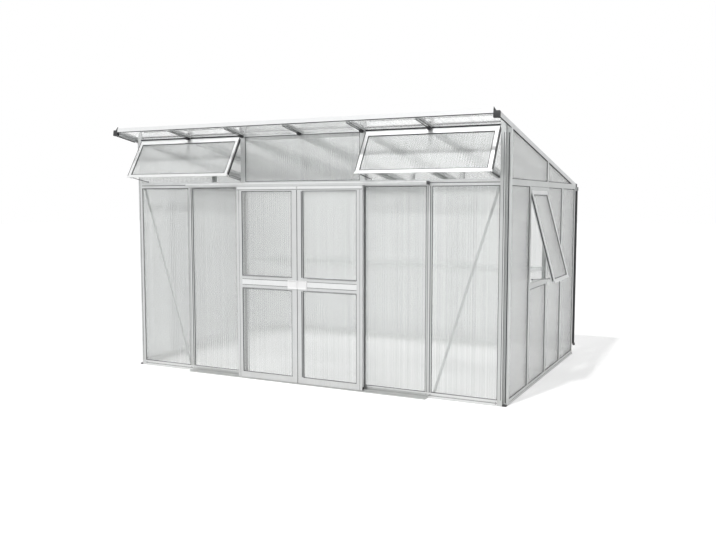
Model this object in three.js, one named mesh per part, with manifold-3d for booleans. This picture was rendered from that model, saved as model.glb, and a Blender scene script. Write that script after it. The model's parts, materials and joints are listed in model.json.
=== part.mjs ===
// A lean to greenhouse: a grey aluminium frame glazed with twin wall sheets, with a single pitch roof
// that falls from a tall front wall to a low rear wall. The front has two sliding doors under a hood
// and two top hung flaps, and the right wall has a top hung window.
// Millimetres, +X right as seen from the front, +Y inward, +Z up.
// The origin is the middle of the front sill's underside.
import * as THREE from "three";
import { mergeVertices } from "three/addons/utils/BufferGeometryUtils.js";
import Module from "manifold-3d";

const wasm = await Module();
wasm.setup();

// The plan. Frame lines stand a bay apart, and each corner stands outside its outer lines.
const bay = 620;
const doorBays = 2;
const flapBays = 2;
const sideBays = 4;
const cornerRib = 22;
const cornerNotch = 35;

// The heights of the walls.
const sillHeight = 48;
const beamBottom = 1786;
const beamHeight = 52;
const frontRise = 448;
const rearRise = 5.7;
const roofFront = 297;
const roofRear = 25;

// Clearances: what rests on or stands against its neighbour, and what slides or swings past it.
const seat = 0.3;
const swing = 3.5;
const overrun = 40;

// The aluminium sections.
const flange = 3;
const web = 4;
const sillDepth = 40;
const beamDepth = 30;
const postWidth = 50;
const postDepth = 40;
const innerFlange = 24;
const ledgeThick = 2;
const ledgeHalf = 18;
const doorPostDepth = 44;
const cornerFlange = 41;
const cornerReach = 38;
const cornerLedge = 27;

// The twin wall sheets, and the pocket that holds an edge of one.
const sheet = 10;
const pocket = 11;
const sheetSide = 3;
const sillPocketFloor = 17;

// The roof's bars.
const capReach = 30;
const gableHeight = 40;
const rafterWidth = 40;
const rafterFlange = 12;
const rafterWebHeight = 34.4;
const rafterWebClear = 5;
const roofJoint = 4;
const frontProfileReach = 32;
const frontProfileRise = 20;
const endCapWidth = 50;
const endCapLength = 30;
const endCapDrop = 10;
const endCapRise = 3;
const endCapNib = 32;
const endCapNibWidth = 6;
const endCapNibLength = 18;

// The top rail over the flaps, with the round bead that a flap hangs on.
const railLipDrop = 33.5;
const railLipHeight = 36.5;
const railLipDepth = 28;
const railDepth = 44;
const beadRadius = 4;
const beadInset = 1;
const beadDrop = 2;

// The frames of the flaps and of the side window.
const ventDepth = 25;
const ventFace = 38;
const ventFoot = 18;
const ventGap = 0.5;
const rainLip = 2.7;
const rainLipDrop = 14;
const rainLipRoot = 3;
const flapOpen = THREE.MathUtils.degToRad(31);

// The side window, in the second bay of the right wall.
const windowLine = 1;
const windowHeaderDrop = 26;
const windowSillTop = 938;
const midRailHeight = 48;
const windowSide = 4;
const windowOpen = THREE.MathUtils.degToRad(15.1);

// The stays: a flat bar on a lug of the vent's bottom rail, and the peg that holds its far end.
const stayWidth = 14;
const stayThick = 4;
const stayPegInset = 54;
const stayEndInset = 22;
const stayRise = 12;
const stayLugReach = 8;
const stayLugThick = 3;
const stayPinRadius = 2.5;
const stayPinGap = 0.6;
const stayTail = 10;
const stayHoleSpacing = 30;
const stayHoles = 6;
const pegRadius = 3;
const pegRise = 20;
const bracketDepth = 62;
const bracketThick = 3;
const bracketSide = 12;

// The sliding doors, their hooks, and the tracks at their head and foot.
const trackProud = 72;
const doorFront = 65;
const doorThick = 32;
const doorMeeting = 1;
const doorWidth = 651;
const doorBottom = 12;
const doorOverBeam = 20;
const doorRail = 55;
const doorSheetGap = 0.3;
const doorMidRailBottom = 855;
const doorMidRailHeight = 117;
const doorMidLip = 9;
const doorMidBand = 48;
const doorMidRelief = 1.5;
const doorBottomWeb = 30;
const hookTip = 22;
const ledgeOut = 30;
const ledgeLip = 11;
const hoodHeight = 28;
const hoodLipRise = 10;
const trackBays = 2;
const floorTrackProud = 70;
const floorLip = 9;
const guideRib = 22;
const guideRibPlace = 50;

// The door grips.
const gripWidth = 98;
const gripHeight = 76;
const gripThick = 10;
const gripMiddle = 909;
const gripBorder = 9;
const gripBar = 18;
const gripRecess = 7;

// The diagonal braces behind the outer front sheets.
const braceWidth = 25;
const braceFootInset = 32;
const braceHeadReach = 5;

// The rear wall's top rail, its gutter and its downpipe.
const rearRailDrop = 71.7;
const gutterWidth = 60;
const gutterHeight = 42;
const gutterDrop = 4;
const gutterWall = 2;
const gutterOver = 12;
const pipeRadius = 14;
const pipeWall = 2;
const pipeSides = 16;
const pipeFoot = 90;
const pipeBend = 32;
const pipeShoeReach = 45;

// The rear wall's mid rail, behind its sheet.
const rearMidRail = 890;

// Sides of the small round pieces.
const roundSides = 12;

// Sizes worked out from those above.
const frontBays = doorBays + 2 * flapBays;
const halfWidth = (frontBays * bay) / 2 + cornerRib + cornerNotch;
const depth = cornerNotch + sideBays * bay + cornerNotch;
const beamTop = beamBottom + beamHeight;
const roofHeight = beamTop + frontRise;
const roofSlope = Math.atan2(frontRise - rearRise, depth);
const railLipBottom = roofHeight - railLipDrop;
const railBottom = railLipBottom - railLipHeight;
const flapPivotHeight = railLipBottom - beadDrop;
const windowHeaderBottom = beamBottom - windowHeaderDrop;
const windowPivotHeight = windowHeaderBottom - beadDrop;
const doorTop = beamBottom + doorOverBeam;
const hoodLipBottom = beamBottom + hoodLipRise;
const hoodTop = hoodLipBottom + hoodHeight;
const rearRailBottom = beamTop + rearRise - rearRailDrop;
const gutterBottom = rearRailBottom - gutterDrop;
const ledgeNear = flange + pocket;
const ledgeFar = ledgeNear + ledgeThick;
const sheetFront = flange + (pocket - sheet) / 2;
const sheetRear = sheetFront + sheet;
const sheetFoot = sillPocketFloor + flange + seat;
const cornerFace = halfWidth - cornerNotch - cornerFlange;
const sideFace = cornerNotch + cornerFlange;
const cornerSheet = halfWidth - cornerNotch - flange - sheetSide;
const sideSheet = cornerReach + sheetSide;
const capThick = flange;
const roofSheetTop = capThick + seat;
const roofSheetBottom = roofSheetTop + sheet;
const rafterTop = roofSheetBottom + seat;
const rafterBottom = rafterTop + rafterFlange;
const stayLugHeight = stayRise - swing;

// The X of a front frame line, and the distance of a side line from the wall's end.
const frontLine = (line) => (line - frontBays / 2) * bay;
const sideLine = (line) => cornerNotch + line * bay;

// The height of a plane that lies under the roof's top by drop, at a distance behind the front wall.
const roofUnder = (y, drop) => roofHeight - drop / Math.cos(roofSlope) - y * Math.tan(roofSlope);

// The distance along the roof of a point at its top, behind the front wall by y.
const alongRoof = (y) => y / Math.cos(roofSlope);

// A flap reaches from a door post to a corner post, the side window from post to post.
const flapInner = frontLine(frontBays - flapBays) + postWidth / 2 + swing;
const flapOuter = cornerFace - swing;
const leftFlapStay = -flapInner - stayEndInset;
const rightFlapStay = flapOuter - stayEndInset;
const windowLeft = sideLine(windowLine) + postWidth / 2 + windowSide;
const windowRight = sideLine(windowLine + 1) - postWidth / 2 - windowSide;
const windowMiddle = (windowLeft + windowRight) / 2;

// A brace leans from beside the outermost post to behind the corner post.
const braceFoot = frontLine(frontBays - 1) + braceFootInset;
const braceHead = cornerFace + braceHeadReach;

// The downpipe's middle under the gutter, in the rear wall's frame, and its bore.
const pipeX = pipeRadius - halfWidth - gutterOver;
const pipeY = -seat - gutterWidth / 2;
const pipePlace = [pipeX, pipeY, 0];
const pipeBore = pipeRadius - pipeWall;

// The greenhouse stands in a group whose y counts from the front plane.
const greenhouse = new THREE.Group();
const house = new THREE.Group();
house.position.y = -sillDepth / 2;
greenhouse.add(house);

// Each wall is a group whose x runs along the wall, whose y runs inward from its outer plane.
const frontWall = new THREE.Group();
const rearWall = new THREE.Group();
rearWall.position.y = depth;
rearWall.rotation.z = Math.PI;
const rightWall = new THREE.Group();
rightWall.position.x = halfWidth;
rightWall.rotation.z = Math.PI / 2;
const leftWall = new THREE.Group();
leftWall.position.set(-halfWidth, depth, 0);
leftWall.rotation.z = -Math.PI / 2;

// The roof's group lies in its top plane: y down the slope from the front wall, z out of the roof.
const roof = new THREE.Group();
roof.position.z = roofHeight;
roof.rotation.x = -roofSlope;
for (const part of [frontWall, rearWall, rightWall, leftWall, roof]) {
  part.updateMatrix();
  house.add(part);
}

// Finishes.
const finishes = {
  frame: { color: 0xb9bcbb, roughness: 0.45, metalness: 0.8 },
  rail: { color: 0xd6d8d7, roughness: 0.4, metalness: 0.6 },
  dark: { color: 0x5c5f60, roughness: 0.5, metalness: 0.6 },
  sheet: { color: 0xcdd1cf, roughness: 0.35, metalness: 0 },
  white: { color: 0xf2f3f2, roughness: 0.5, metalness: 0 },
  black: { color: 0x26282a, roughness: 0.6, metalness: 0 },
};

// A closed solid from a geometry, and a flat shaded geometry from a solid.
function solidOf(geometry) {
  const bare = geometry.clone();
  bare.deleteAttribute("normal");
  bare.deleteAttribute("uv");
  const merged = mergeVertices(bare);
  const vertProperties = new Float32Array(merged.attributes.position.array);
  const triVerts = new Uint32Array(merged.index.array);
  return new wasm.Manifold(new wasm.Mesh({ numProp: 3, vertProperties, triVerts }));
}

function geometryOf(solid) {
  const mesh = solid.getMesh();
  const indexed = new THREE.BufferGeometry();
  indexed.setAttribute("position", new THREE.BufferAttribute(mesh.vertProperties, 3));
  indexed.setIndex(new THREE.BufferAttribute(mesh.triVerts, 1));
  const made = indexed.toNonIndexed();
  made.computeVertexNormals();
  return made;
}

function join(first, ...others) {
  return geometryOf(others.reduce((sum, other) => sum.add(solidOf(other)), solidOf(first)));
}

function cut(first, ...tools) {
  return geometryOf(tools.reduce((rest, tool) => rest.subtract(solidOf(tool)), solidOf(first)));
}

// A flat outline from its points.
function outline(points) {
  return new THREE.Shape(points.map(([x, y]) => new THREE.Vector2(x, y)));
}

function drawnOut(shape, length) {
  return new THREE.ExtrudeGeometry(shape, { depth: length, bevelEnabled: false });
}

const alongX = new THREE.Vector3(1, 0, 0);
const alongY = new THREE.Vector3(0, 1, 0);
const alongZ = new THREE.Vector3(0, 0, 1);

// A section drawn in x and y, standing from one height to another.
function standing(points, bottom, top) {
  return drawnOut(outline(points), top - bottom).translate(0, 0, bottom);
}

// A section drawn in y and z, running across from one x to another.
function across(points, left, right) {
  const turn = new THREE.Matrix4().makeBasis(alongY, alongZ, alongX);
  return drawnOut(outline(points), right - left)
    .applyMatrix4(turn)
    .translate(left, 0, 0);
}

// A section drawn in x and z, running inward from one y to another.
function inward(points, near, far) {
  const turn = new THREE.Matrix4().makeBasis(alongX, alongZ, alongY.clone().negate());
  return drawnOut(outline(points), far - near)
    .applyMatrix4(turn)
    .translate(0, far, 0);
}

// A block between two corners.
function block([left, near, bottom], [right, far, top]) {
  const made = new THREE.BoxGeometry(right - left, far - near, top - bottom);
  return made.translate((left + right) / 2, (near + far) / 2, (bottom + top) / 2);
}

// A round bar across, between two x, about a centre in y and z.
function roundAcross(radius, left, right, y, z) {
  const made = new THREE.CylinderGeometry(radius, radius, right - left, roundSides);
  return made.rotateZ(Math.PI / 2).translate((left + right) / 2, y, z);
}

function roundStanding(radius, bottom, top, x, y) {
  const made = new THREE.CylinderGeometry(radius, radius, top - bottom, roundSides);
  return made.rotateX(Math.PI / 2).translate(x, y, (bottom + top) / 2);
}

// A named mesh with its own material, put into its group.
function piece(group, name, geometry, finish) {
  const mesh = new THREE.Mesh(geometry, new THREE.MeshStandardMaterial(finishes[finish]));
  mesh.name = name;
  group.add(mesh);
  return mesh;
}

// A block over everything that lies higher than a plane under the roof, in a wall's own frame.
function overRoof(wall, drop) {
  const reach = halfWidth + depth;
  const made = block([-reach, -reach, -drop], [reach, reach, reach]);
  made.applyMatrix4(roof.matrix);
  return made.applyMatrix4(wall.matrix.clone().invert());
}

// The sill: a base with a pocket for the sheets and two upstands.
function sillSection() {
  return [
    [0, 0],
    [sillDepth, 0],
    [sillDepth, flange],
    [flange, flange],
    [flange, sillPocketFloor],
    [ledgeFar, sillPocketFloor],
    [ledgeFar, sillHeight],
    [ledgeNear, sillHeight],
    [ledgeNear, sillPocketFloor + flange],
    [flange, sillPocketFloor + flange],
    [flange, sillHeight],
    [0, sillHeight],
  ];
}

function makeSills() {
  const frontEnd = cornerFace - seat;
  const sideStart = sideFace + seat;
  const sideEnd = depth - sideStart;
  piece(frontWall, "front_sill", across(sillSection(), -frontEnd, frontEnd), "frame");
  piece(rearWall, "rear_sill", across(sillSection(), -frontEnd, frontEnd), "frame");
  piece(rightWall, "right_sill", across(sillSection(), sideStart, sideEnd), "frame");
  piece(leftWall, "left_sill", across(sillSection(), sideStart, sideEnd), "frame");
}

// A channel open to the inside, between two heights.
function channelSection(deep, bottom, top) {
  return [
    [0, bottom],
    [deep, bottom],
    [deep, bottom + flange],
    [flange, bottom + flange],
    [flange, top - flange],
    [deep, top - flange],
    [deep, top],
    [0, top],
  ];
}

// A corner post: two flanges round an outward notch, a ledge behind each flange.
// Drawn for the front right corner, x from the rib and y from the front plane.
function cornerSection() {
  const reach = cornerNotch + cornerFlange;
  const sideLedge = cornerNotch - flange - pocket;
  return [
    [-cornerFlange, 0],
    [0, 0],
    [0, cornerNotch],
    [cornerNotch, cornerNotch],
    [cornerNotch, reach],
    [cornerNotch - flange, reach],
    [cornerNotch - flange, cornerReach],
    [sideLedge, cornerReach],
    [sideLedge, cornerReach + cornerLedge],
    [sideLedge - ledgeThick, cornerReach + cornerLedge],
    [sideLedge - ledgeThick, cornerReach],
    [-flange, cornerReach],
    [-flange, ledgeFar],
    [-flange - cornerLedge, ledgeFar],
    [-flange - cornerLedge, ledgeNear],
    [-flange, ledgeNear],
    [-flange, flange],
    [-cornerFlange, flange],
  ];
}

// A corner post in the house's frame. Its outer part ends under the gable bar's plate.
function cornerPost(side, end) {
  const rib = halfWidth - cornerNotch;
  const place = ([x, y]) => [side * (rib + x), end > 0 ? depth - y : y];
  const post = standing(cornerSection().map(place), 0, roofHeight);
  const plateEdge = side * (rib + flange / 2);
  const outside = side * (halfWidth + overrun);
  const plateRoom = block(
    [Math.min(plateEdge, outside), -depth, -gableHeight - seat],
    [Math.max(plateEdge, outside), 2 * depth, depth],
  );
  return cut(post, overRoof(house, rafterTop + flange + seat), plateRoom.applyMatrix4(roof.matrix));
}

function makeCornerPosts() {
  house.updateMatrix();
  const sides = { left: -1, right: 1 };
  const ends = { front: -1, rear: 1 };
  for (const [endName, end] of Object.entries(ends)) {
    for (const [sideName, side] of Object.entries(sides)) {
      piece(house, `${endName}_${sideName}_corner_post`, cornerPost(side, end), "frame");
    }
  }
}

// A front post: an outer flange, a web between the sheets, a ledge behind them, an inner flange.
function postSection(deep) {
  const half = postWidth / 2;
  const inner = innerFlange / 2;
  const side = [
    [half, 0],
    [half, flange],
    [web / 2, flange],
    [web / 2, ledgeNear],
    [ledgeHalf, ledgeNear],
    [ledgeHalf, ledgeFar],
    [web / 2, ledgeFar],
    [web / 2, deep - flange],
    [inner, deep - flange],
    [inner, deep],
  ];
  const mirrored = side.map(([x, y]) => [-x, y]).reverse();
  return [...side, ...mirrored];
}

// The outer strip and the inner tee of a side or rear post, whose sheet runs between them.
function stripSection() {
  const half = postWidth / 2;
  return [
    [-half, 0],
    [half, 0],
    [half, flange],
    [-half, flange],
  ];
}

function teeSection() {
  const inner = innerFlange / 2;
  const near = ledgeNear + seat;
  const side = [
    [ledgeHalf, near],
    [ledgeHalf, ledgeFar + seat],
    [web / 2, ledgeFar + seat],
    [web / 2, postDepth - flange],
    [inner, postDepth - flange],
    [inner, postDepth],
  ];
  const mirrored = side.map(([x, y]) => [-x, y]).reverse();
  return [...side, ...mirrored];
}

function makeFrontPosts() {
  const foot = sillHeight + seat;
  const outer = standing(postSection(postDepth), foot, beamBottom - seat);
  const names = { front_left_post: 1, front_right_post: frontBays - 1 };
  for (const [name, line] of Object.entries(names)) {
    piece(frontWall, name, outer.clone(), "frame").position.x = frontLine(line);
  }
  const tall = standing(postSection(doorPostDepth), foot, railLipBottom - seat);
  const half = postWidth / 2 + overrun;
  const beamRoom = block(
    [-half, -overrun, beamBottom - seat],
    [half, beamDepth + seat, beamTop + seat],
  );
  const railRoom = block(
    [-half, railLipDepth - seat, railBottom - seat],
    [half, doorPostDepth + overrun, railLipBottom + overrun],
  );
  const doorPost = cut(tall, beamRoom, railRoom);
  const doorNames = { left_door_post: flapBays, right_door_post: frontBays - flapBays };
  for (const [name, line] of Object.entries(doorNames)) {
    piece(frontWall, name, doorPost.clone(), "frame").position.x = frontLine(line);
  }
}

// A small shelf behind a beam, with the peg that holds a stay.
function stayBracket(x, top) {
  const pegX = x + stayWidth / 2 + ventGap + pegRadius;
  const shelf = block(
    [x - bracketSide, beamDepth - flange, top - bracketThick],
    [pegX + bracketSide, bracketDepth, top],
  );
  const peg = roundStanding(pegRadius, top - bracketThick / 2, top + pegRise, pegX, stayPegInset);
  return [shelf, peg];
}

function makeFrontBeams() {
  const end = cornerFace - seat;
  const beam = join(
    across(channelSection(beamDepth, beamBottom, beamTop), -end, end),
    ...stayBracket(leftFlapStay, beamTop),
    ...stayBracket(rightFlapStay, beamTop),
  );
  piece(frontWall, "front_mid_beam", beam, "rail");
  const topDrop = rafterBottom + seat;
  const rail = across(
    [
      [0, railLipBottom],
      [railLipDepth, railLipBottom],
      [railLipDepth, railBottom],
      [railDepth, railBottom],
      [railDepth, railBottom + flange],
      [railLipDepth + flange, railBottom + flange],
      [railLipDepth + flange, roofUnder(railLipDepth + flange, topDrop + flange)],
      [railDepth, roofUnder(railDepth, topDrop + flange)],
      [railDepth, roofUnder(railDepth, topDrop)],
      [0, roofUnder(0, topDrop)],
    ],
    -end,
    end,
  );
  const beads = [-1, 1].map((side) => {
    const near = side * flapInner;
    const far = side * flapOuter;
    const ends = [Math.min(near, far), Math.max(near, far)];
    return roundAcross(beadRadius, ...ends, beadInset, flapPivotHeight);
  });
  piece(frontWall, "front_top_rail", join(rail, ...beads), "rail");
}

// The hood over the doors, with the ledge that their hooks run on.
function makeDoorTracks() {
  const end = frontLine(frontBays / 2 + trackBays);
  const hood = across(
    [
      [0, beamBottom],
      [0, hoodTop],
      [-trackProud, hoodTop],
      [-trackProud, hoodLipBottom],
      [-trackProud + flange, hoodLipBottom],
      [-trackProud + flange, hoodTop - flange],
      [-flange, hoodTop - flange],
      [-flange, beamBottom + flange],
      [-ledgeOut + ledgeThick, beamBottom + flange],
      [-ledgeOut + ledgeThick, beamBottom + ledgeLip],
      [-ledgeOut, beamBottom + ledgeLip],
      [-ledgeOut, beamBottom],
    ],
    -end,
    end,
  );
  piece(frontWall, "door_head_track", hood, "rail");
  const track = across(
    [
      [0, 0],
      [0, guideRib],
      [-ledgeThick, guideRib],
      [-ledgeThick, flange],
      [-guideRibPlace + ledgeThick, flange],
      [-guideRibPlace + ledgeThick, guideRib],
      [-guideRibPlace, guideRib],
      [-guideRibPlace, flange],
      [-floorTrackProud + ledgeThick, flange],
      [-floorTrackProud + ledgeThick, floorLip],
      [-floorTrackProud, floorLip],
      [-floorTrackProud, 0],
    ],
    -end,
    end,
  );
  piece(frontWall, "door_floor_track", track, "frame");
}

// A brace: a flat bar behind the beam and the sill, leaning out to the corner.
function makeBraces() {
  const foot = flange + seat;
  const head = beamTop - flange - seat;
  const half = braceWidth / 2;
  for (const [name, side] of [
    ["front_left_brace", -1],
    ["front_right_brace", 1],
  ]) {
    const bar = [
      [side * (braceFoot - half), foot],
      [side * (braceFoot + half), foot],
      [side * (braceHead + half), head],
      [side * (braceHead - half), head],
    ];
    const near = beamDepth + seat;
    piece(frontWall, name, inward(bar, near, near + flange), "frame");
  }
}

// A rectangular sheet in a wall.
function wallSheet(wall, name, left, right, bottom, top) {
  const made = block([left, sheetFront, bottom], [right, sheetRear, top]);
  return piece(wall, name, made, "sheet");
}

function makeFrontSheets() {
  const edge = web / 2 + sheetSide;
  const top = beamBottom - seat;
  const ends = (line) => {
    const left = line === 0 ? -cornerSheet : frontLine(line) + edge;
    const right = line === frontBays - 1 ? cornerSheet : frontLine(line + 1) - edge;
    return [left, right];
  };
  for (let line = 0; line < frontBays; line += 1) {
    if (line < flapBays || line >= frontBays - flapBays) {
      wallSheet(frontWall, `front_sheet_${line + 1}`, ...ends(line), sheetFoot, top);
    }
  }
  const doorway = frontLine(frontBays - flapBays) - edge;
  wallSheet(frontWall, "clerestory_sheet", -doorway, doorway, beamTop + seat, railLipBottom - seat);
}

// The posts and the mid beam of a side wall, under the plate of the gable bar.
function sidePosts(foot, top) {
  const posts = [];
  for (let line = 1; line < sideBays; line += 1) {
    posts.push(standing(stripSection(), foot, top).translate(sideLine(line), 0, 0));
    posts.push(standing(teeSection(), foot, top).translate(sideLine(line), 0, 0));
  }
  return posts;
}

function gablePost(bottom, top) {
  const middle = sideLine(sideBays / 2);
  return [stripSection(), teeSection()].map((section) =>
    standing(section, bottom, top).translate(middle, 0, 0),
  );
}

function sideFrame(wall, ...extra) {
  const inBeam = beamBottom + flange / 2;
  const start = sideFace + seat;
  const beam = across(channelSection(beamDepth, beamBottom, beamTop), start, depth - start);
  const posts = sidePosts(sillHeight + seat, inBeam);
  const above = gablePost(beamTop - flange / 2, roofHeight);
  const made = join(beam, ...posts, ...above, ...extra);
  return cut(made, overRoof(wall, gableHeight + seat));
}

// The header that the side window hangs on, and the rail under it.
function windowRails() {
  const left = sideLine(windowLine);
  const right = sideLine(windowLine + 1);
  const inBeam = beamBottom + flange / 2;
  const header = across(
    [
      [0, windowHeaderBottom],
      [beamDepth, windowHeaderBottom],
      [beamDepth, windowHeaderBottom + flange],
      [flange, windowHeaderBottom + flange],
      [flange, inBeam],
      [0, inBeam],
    ],
    left,
    right,
  );
  const bead = roundAcross(beadRadius, windowLeft, windowRight, beadInset, windowPivotHeight);
  const low = windowSillTop - midRailHeight;
  const rail = across(channelSection(beamDepth, low, windowSillTop), left, right);
  const room = block(
    [left - overrun, sheetFront - seat, low - overrun],
    [right + overrun, sheetRear + seat, low],
  );
  return [header, bead, cut(rail, room), ...stayBracket(windowMiddle, windowSillTop)];
}

function makeSideFrames() {
  piece(leftWall, "left_wall_frame", sideFrame(leftWall), "frame");
  piece(rightWall, "right_wall_frame", sideFrame(rightWall, ...windowRails()), "frame");
}

// The sheets of the side walls. Where a sheet fills more than one bay, it runs between the strips
// and the tees of the posts that it passes.
function makeSideSheets() {
  const edge = web / 2 + sheetSide;
  const top = beamBottom - seat;
  const far = depth - sideSheet;
  const first = sideLine(windowLine);
  const second = sideLine(windowLine + 1);
  const underWindow = windowSillTop - midRailHeight - seat;
  wallSheet(leftWall, "left_wall_sheet", sideSheet, far, sheetFoot, top);
  wallSheet(rightWall, "right_sheet_front", sideSheet, first - edge, sheetFoot, top);
  wallSheet(rightWall, "right_sheet_window", first + edge, second - edge, sheetFoot, underWindow);
  wallSheet(rightWall, "right_sheet_rear", second + edge, far, sheetFoot, top);
}

// The gable sheet over a side wall's mid beam, its slanting edge in the gable bar's pocket.
function gableOutline() {
  const bottom = beamTop + seat;
  const drop = rafterTop + flange + seat;
  const high = roofUnder(sideSheet, drop);
  const end = sideSheet + (high - bottom) / Math.tan(roofSlope);
  return [
    [sideSheet, bottom],
    [end, bottom],
    [sideSheet, high],
  ];
}

function makeGableSheets() {
  const right = gableOutline();
  const left = right.map(([x, z]) => [depth - x, z]);
  piece(rightWall, "right_gable_sheet", inward(right, sheetFront, sheetRear), "sheet");
  piece(leftWall, "left_gable_sheet", inward(left, sheetFront, sheetRear), "sheet");
}

// The rear wall: a top rail with a slanting head, posts, and a mid rail inside its sheet.
function makeRearWall() {
  const end = cornerFace - seat;
  const drop = rafterBottom + seat;
  const headAt = (y, down) => roofUnder(depth - y, drop) - down;
  const topRail = across(
    [
      [0, rearRailBottom],
      [beamDepth, rearRailBottom],
      [beamDepth, rearRailBottom + flange],
      [flange, rearRailBottom + flange],
      [flange, headAt(flange, flange)],
      [beamDepth, headAt(beamDepth, flange)],
      [beamDepth, headAt(beamDepth, 0)],
      [0, headAt(0, 0)],
    ],
    -end,
    end,
  );
  const midRail = across(
    [
      [ledgeNear + seat, rearMidRail],
      [beamDepth, rearMidRail],
      [beamDepth, rearMidRail + midRailHeight],
      [ledgeNear + seat, rearMidRail + midRailHeight],
    ],
    -end,
    end,
  );
  const posts = [];
  const foot = sillHeight + seat;
  const top = rearRailBottom + flange / 2;
  for (let line = 1; line < frontBays; line += 1) {
    posts.push(standing(stripSection(), foot, top).translate(frontLine(line), 0, 0));
    posts.push(standing(teeSection(), foot, top).translate(frontLine(line), 0, 0));
  }
  piece(rearWall, "rear_wall_frame", join(topRail, midRail, ...posts), "frame");
  const sheetTop = rearRailBottom - seat;
  wallSheet(rearWall, "rear_wall_sheet", -cornerSheet, cornerSheet, sheetFoot, sheetTop);
}

// A gable bar: a plate down the side of the roof, a cap over the sheet, a ledge and a lip.
function gableSection(side) {
  const ledgeBottom = rafterTop + flange;
  return [
    [0, 0],
    [-capReach, 0],
    [-capReach, -capThick],
    [-flange, -capThick],
    [-flange, -rafterTop],
    [-capReach - flange, -rafterTop],
    [-capReach - flange, -ledgeBottom],
    [-ledgeFar, -ledgeBottom],
    [-ledgeFar, -gableHeight],
    [-ledgeNear, -gableHeight],
    [-ledgeNear, -ledgeBottom],
    [-flange, -ledgeBottom],
    [-flange, -gableHeight],
    [0, -gableHeight],
  ].map(([x, z]) => [side * (halfWidth + x), z]);
}

// The cap on the front end of a gable bar, with the nib that stands up from it.
function gableEndCap(side, front) {
  const outer = side * halfWidth;
  const inner = side * (halfWidth - endCapWidth);
  const skin = side * (halfWidth - flange);
  const nib = side * (halfWidth - endCapWidth + endCapNibWidth);
  const ordered = (one, two) => [Math.min(one, two), Math.max(one, two)];
  const [faceLeft, faceRight] = ordered(inner, outer);
  const [skinLeft, skinRight] = ordered(skin, outer);
  const [nibLeft, nibRight] = ordered(inner, nib);
  const bottom = -gableHeight - endCapDrop;
  return [
    block([faceLeft, front, bottom], [faceRight, front + flange, endCapRise]),
    block([skinLeft, front, bottom], [skinRight, front + endCapLength, endCapRise]),
    block([nibLeft, front, 0], [nibRight, front + endCapNibLength, endCapNib]),
  ];
}

function makeRoofBars() {
  const front = -alongRoof(roofFront);
  const inProfile = front + frontProfileReach + seat;
  const rear = alongRoof(depth);
  for (const [name, side] of [
    ["left_gable_rafter", -1],
    ["right_gable_rafter", 1],
  ]) {
    const bar = inward(gableSection(side), front + flange / 2, rear);
    piece(roof, name, join(bar, ...gableEndCap(side, front)), "dark");
  }
  const half = rafterWidth / 2;
  const inner = innerFlange / 2;
  const webBottom = -rafterBottom - rafterWebHeight;
  const tee = [
    [web / 2, -rafterBottom + flange],
    [web / 2, webBottom + flange],
    [inner, webBottom + flange],
    [inner, webBottom],
    [-inner, webBottom],
    [-inner, webBottom + flange],
    [-web / 2, webBottom + flange],
    [-web / 2, -rafterBottom + flange],
  ];
  const lean = Math.sin(roofSlope);
  const teeStart = alongRoof(railDepth) - lean * webBottom + rafterWebClear;
  const teeEnd = alongRoof(depth - beamDepth - seat) + lean * rafterTop;
  const rafter = join(
    block([-half, inProfile, -rafterBottom], [half, rear, -rafterTop]),
    inward(tee, teeStart, teeEnd),
  );
  for (let line = 1; line < frontBays; line += 1) {
    piece(roof, `rafter_${line}`, rafter.clone(), "frame").position.x = frontLine(line);
  }
}

// The bar along the roof's front edge: open to the rear, with the sheets' edges in it, and an upstand.
function makeRoofFrontProfile() {
  const front = -alongRoof(roofFront);
  const near = front + flange;
  const far = front + frontProfileReach;
  const ledgeBottom = rafterTop + flange;
  const section = [
    [front, frontProfileRise],
    [front, -ledgeBottom],
    [far, -ledgeBottom],
    [far, -rafterTop],
    [near, -rafterTop],
    [near, -capThick],
    [far, -capThick],
    [far, 0],
    [near, 0],
    [near, frontProfileRise],
  ];
  const end = halfWidth - endCapWidth - seat;
  piece(roof, "roof_front_profile", across(section, -end, end), "rail");
}

function makeRoofSheets() {
  const front = -alongRoof(roofFront) + flange + seat;
  const rear = alongRoof(depth + roofRear);
  const outer = halfWidth - flange - seat;
  const inner = roofJoint / 2;
  for (const [name, left, right] of [
    ["roof_sheet_left", -outer, -inner],
    ["roof_sheet_right", inner, outer],
  ]) {
    const made = block([left, front, -roofSheetBottom], [right, rear, -roofSheetTop]);
    piece(roof, name, made, "sheet");
  }
}

// A ring of points round a pipe.
function ring(radius) {
  const points = [];
  for (let side = 0; side < pipeSides; side += 1) {
    const angle = (2 * Math.PI * side) / pipeSides;
    points.push([radius * Math.cos(angle), radius * Math.sin(angle)]);
  }
  return points;
}

// The gutter along the rear wall, with the outlet over the pipe at its right end.
function makeGutter() {
  const out = -gutterWidth - seat;
  const top = gutterBottom + gutterHeight;
  const section = [
    [-seat, top],
    [-seat, gutterBottom],
    [out, gutterBottom],
    [out, top],
    [out + gutterWall, top],
    [out + gutterWall, gutterBottom + gutterWall],
    [-seat - gutterWall, gutterBottom + gutterWall],
    [-seat - gutterWall, top],
  ];
  const trough = across(section, -halfWidth - gutterOver, halfWidth + gutterOver);
  const outletTop = gutterBottom + gutterHeight / 2;
  const outlet = standing(ring(pipeBore), gutterBottom - overrun, outletTop);
  piece(rearWall, "rear_gutter", cut(trough, outlet.translate(...pipePlace)), "frame");
}

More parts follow.
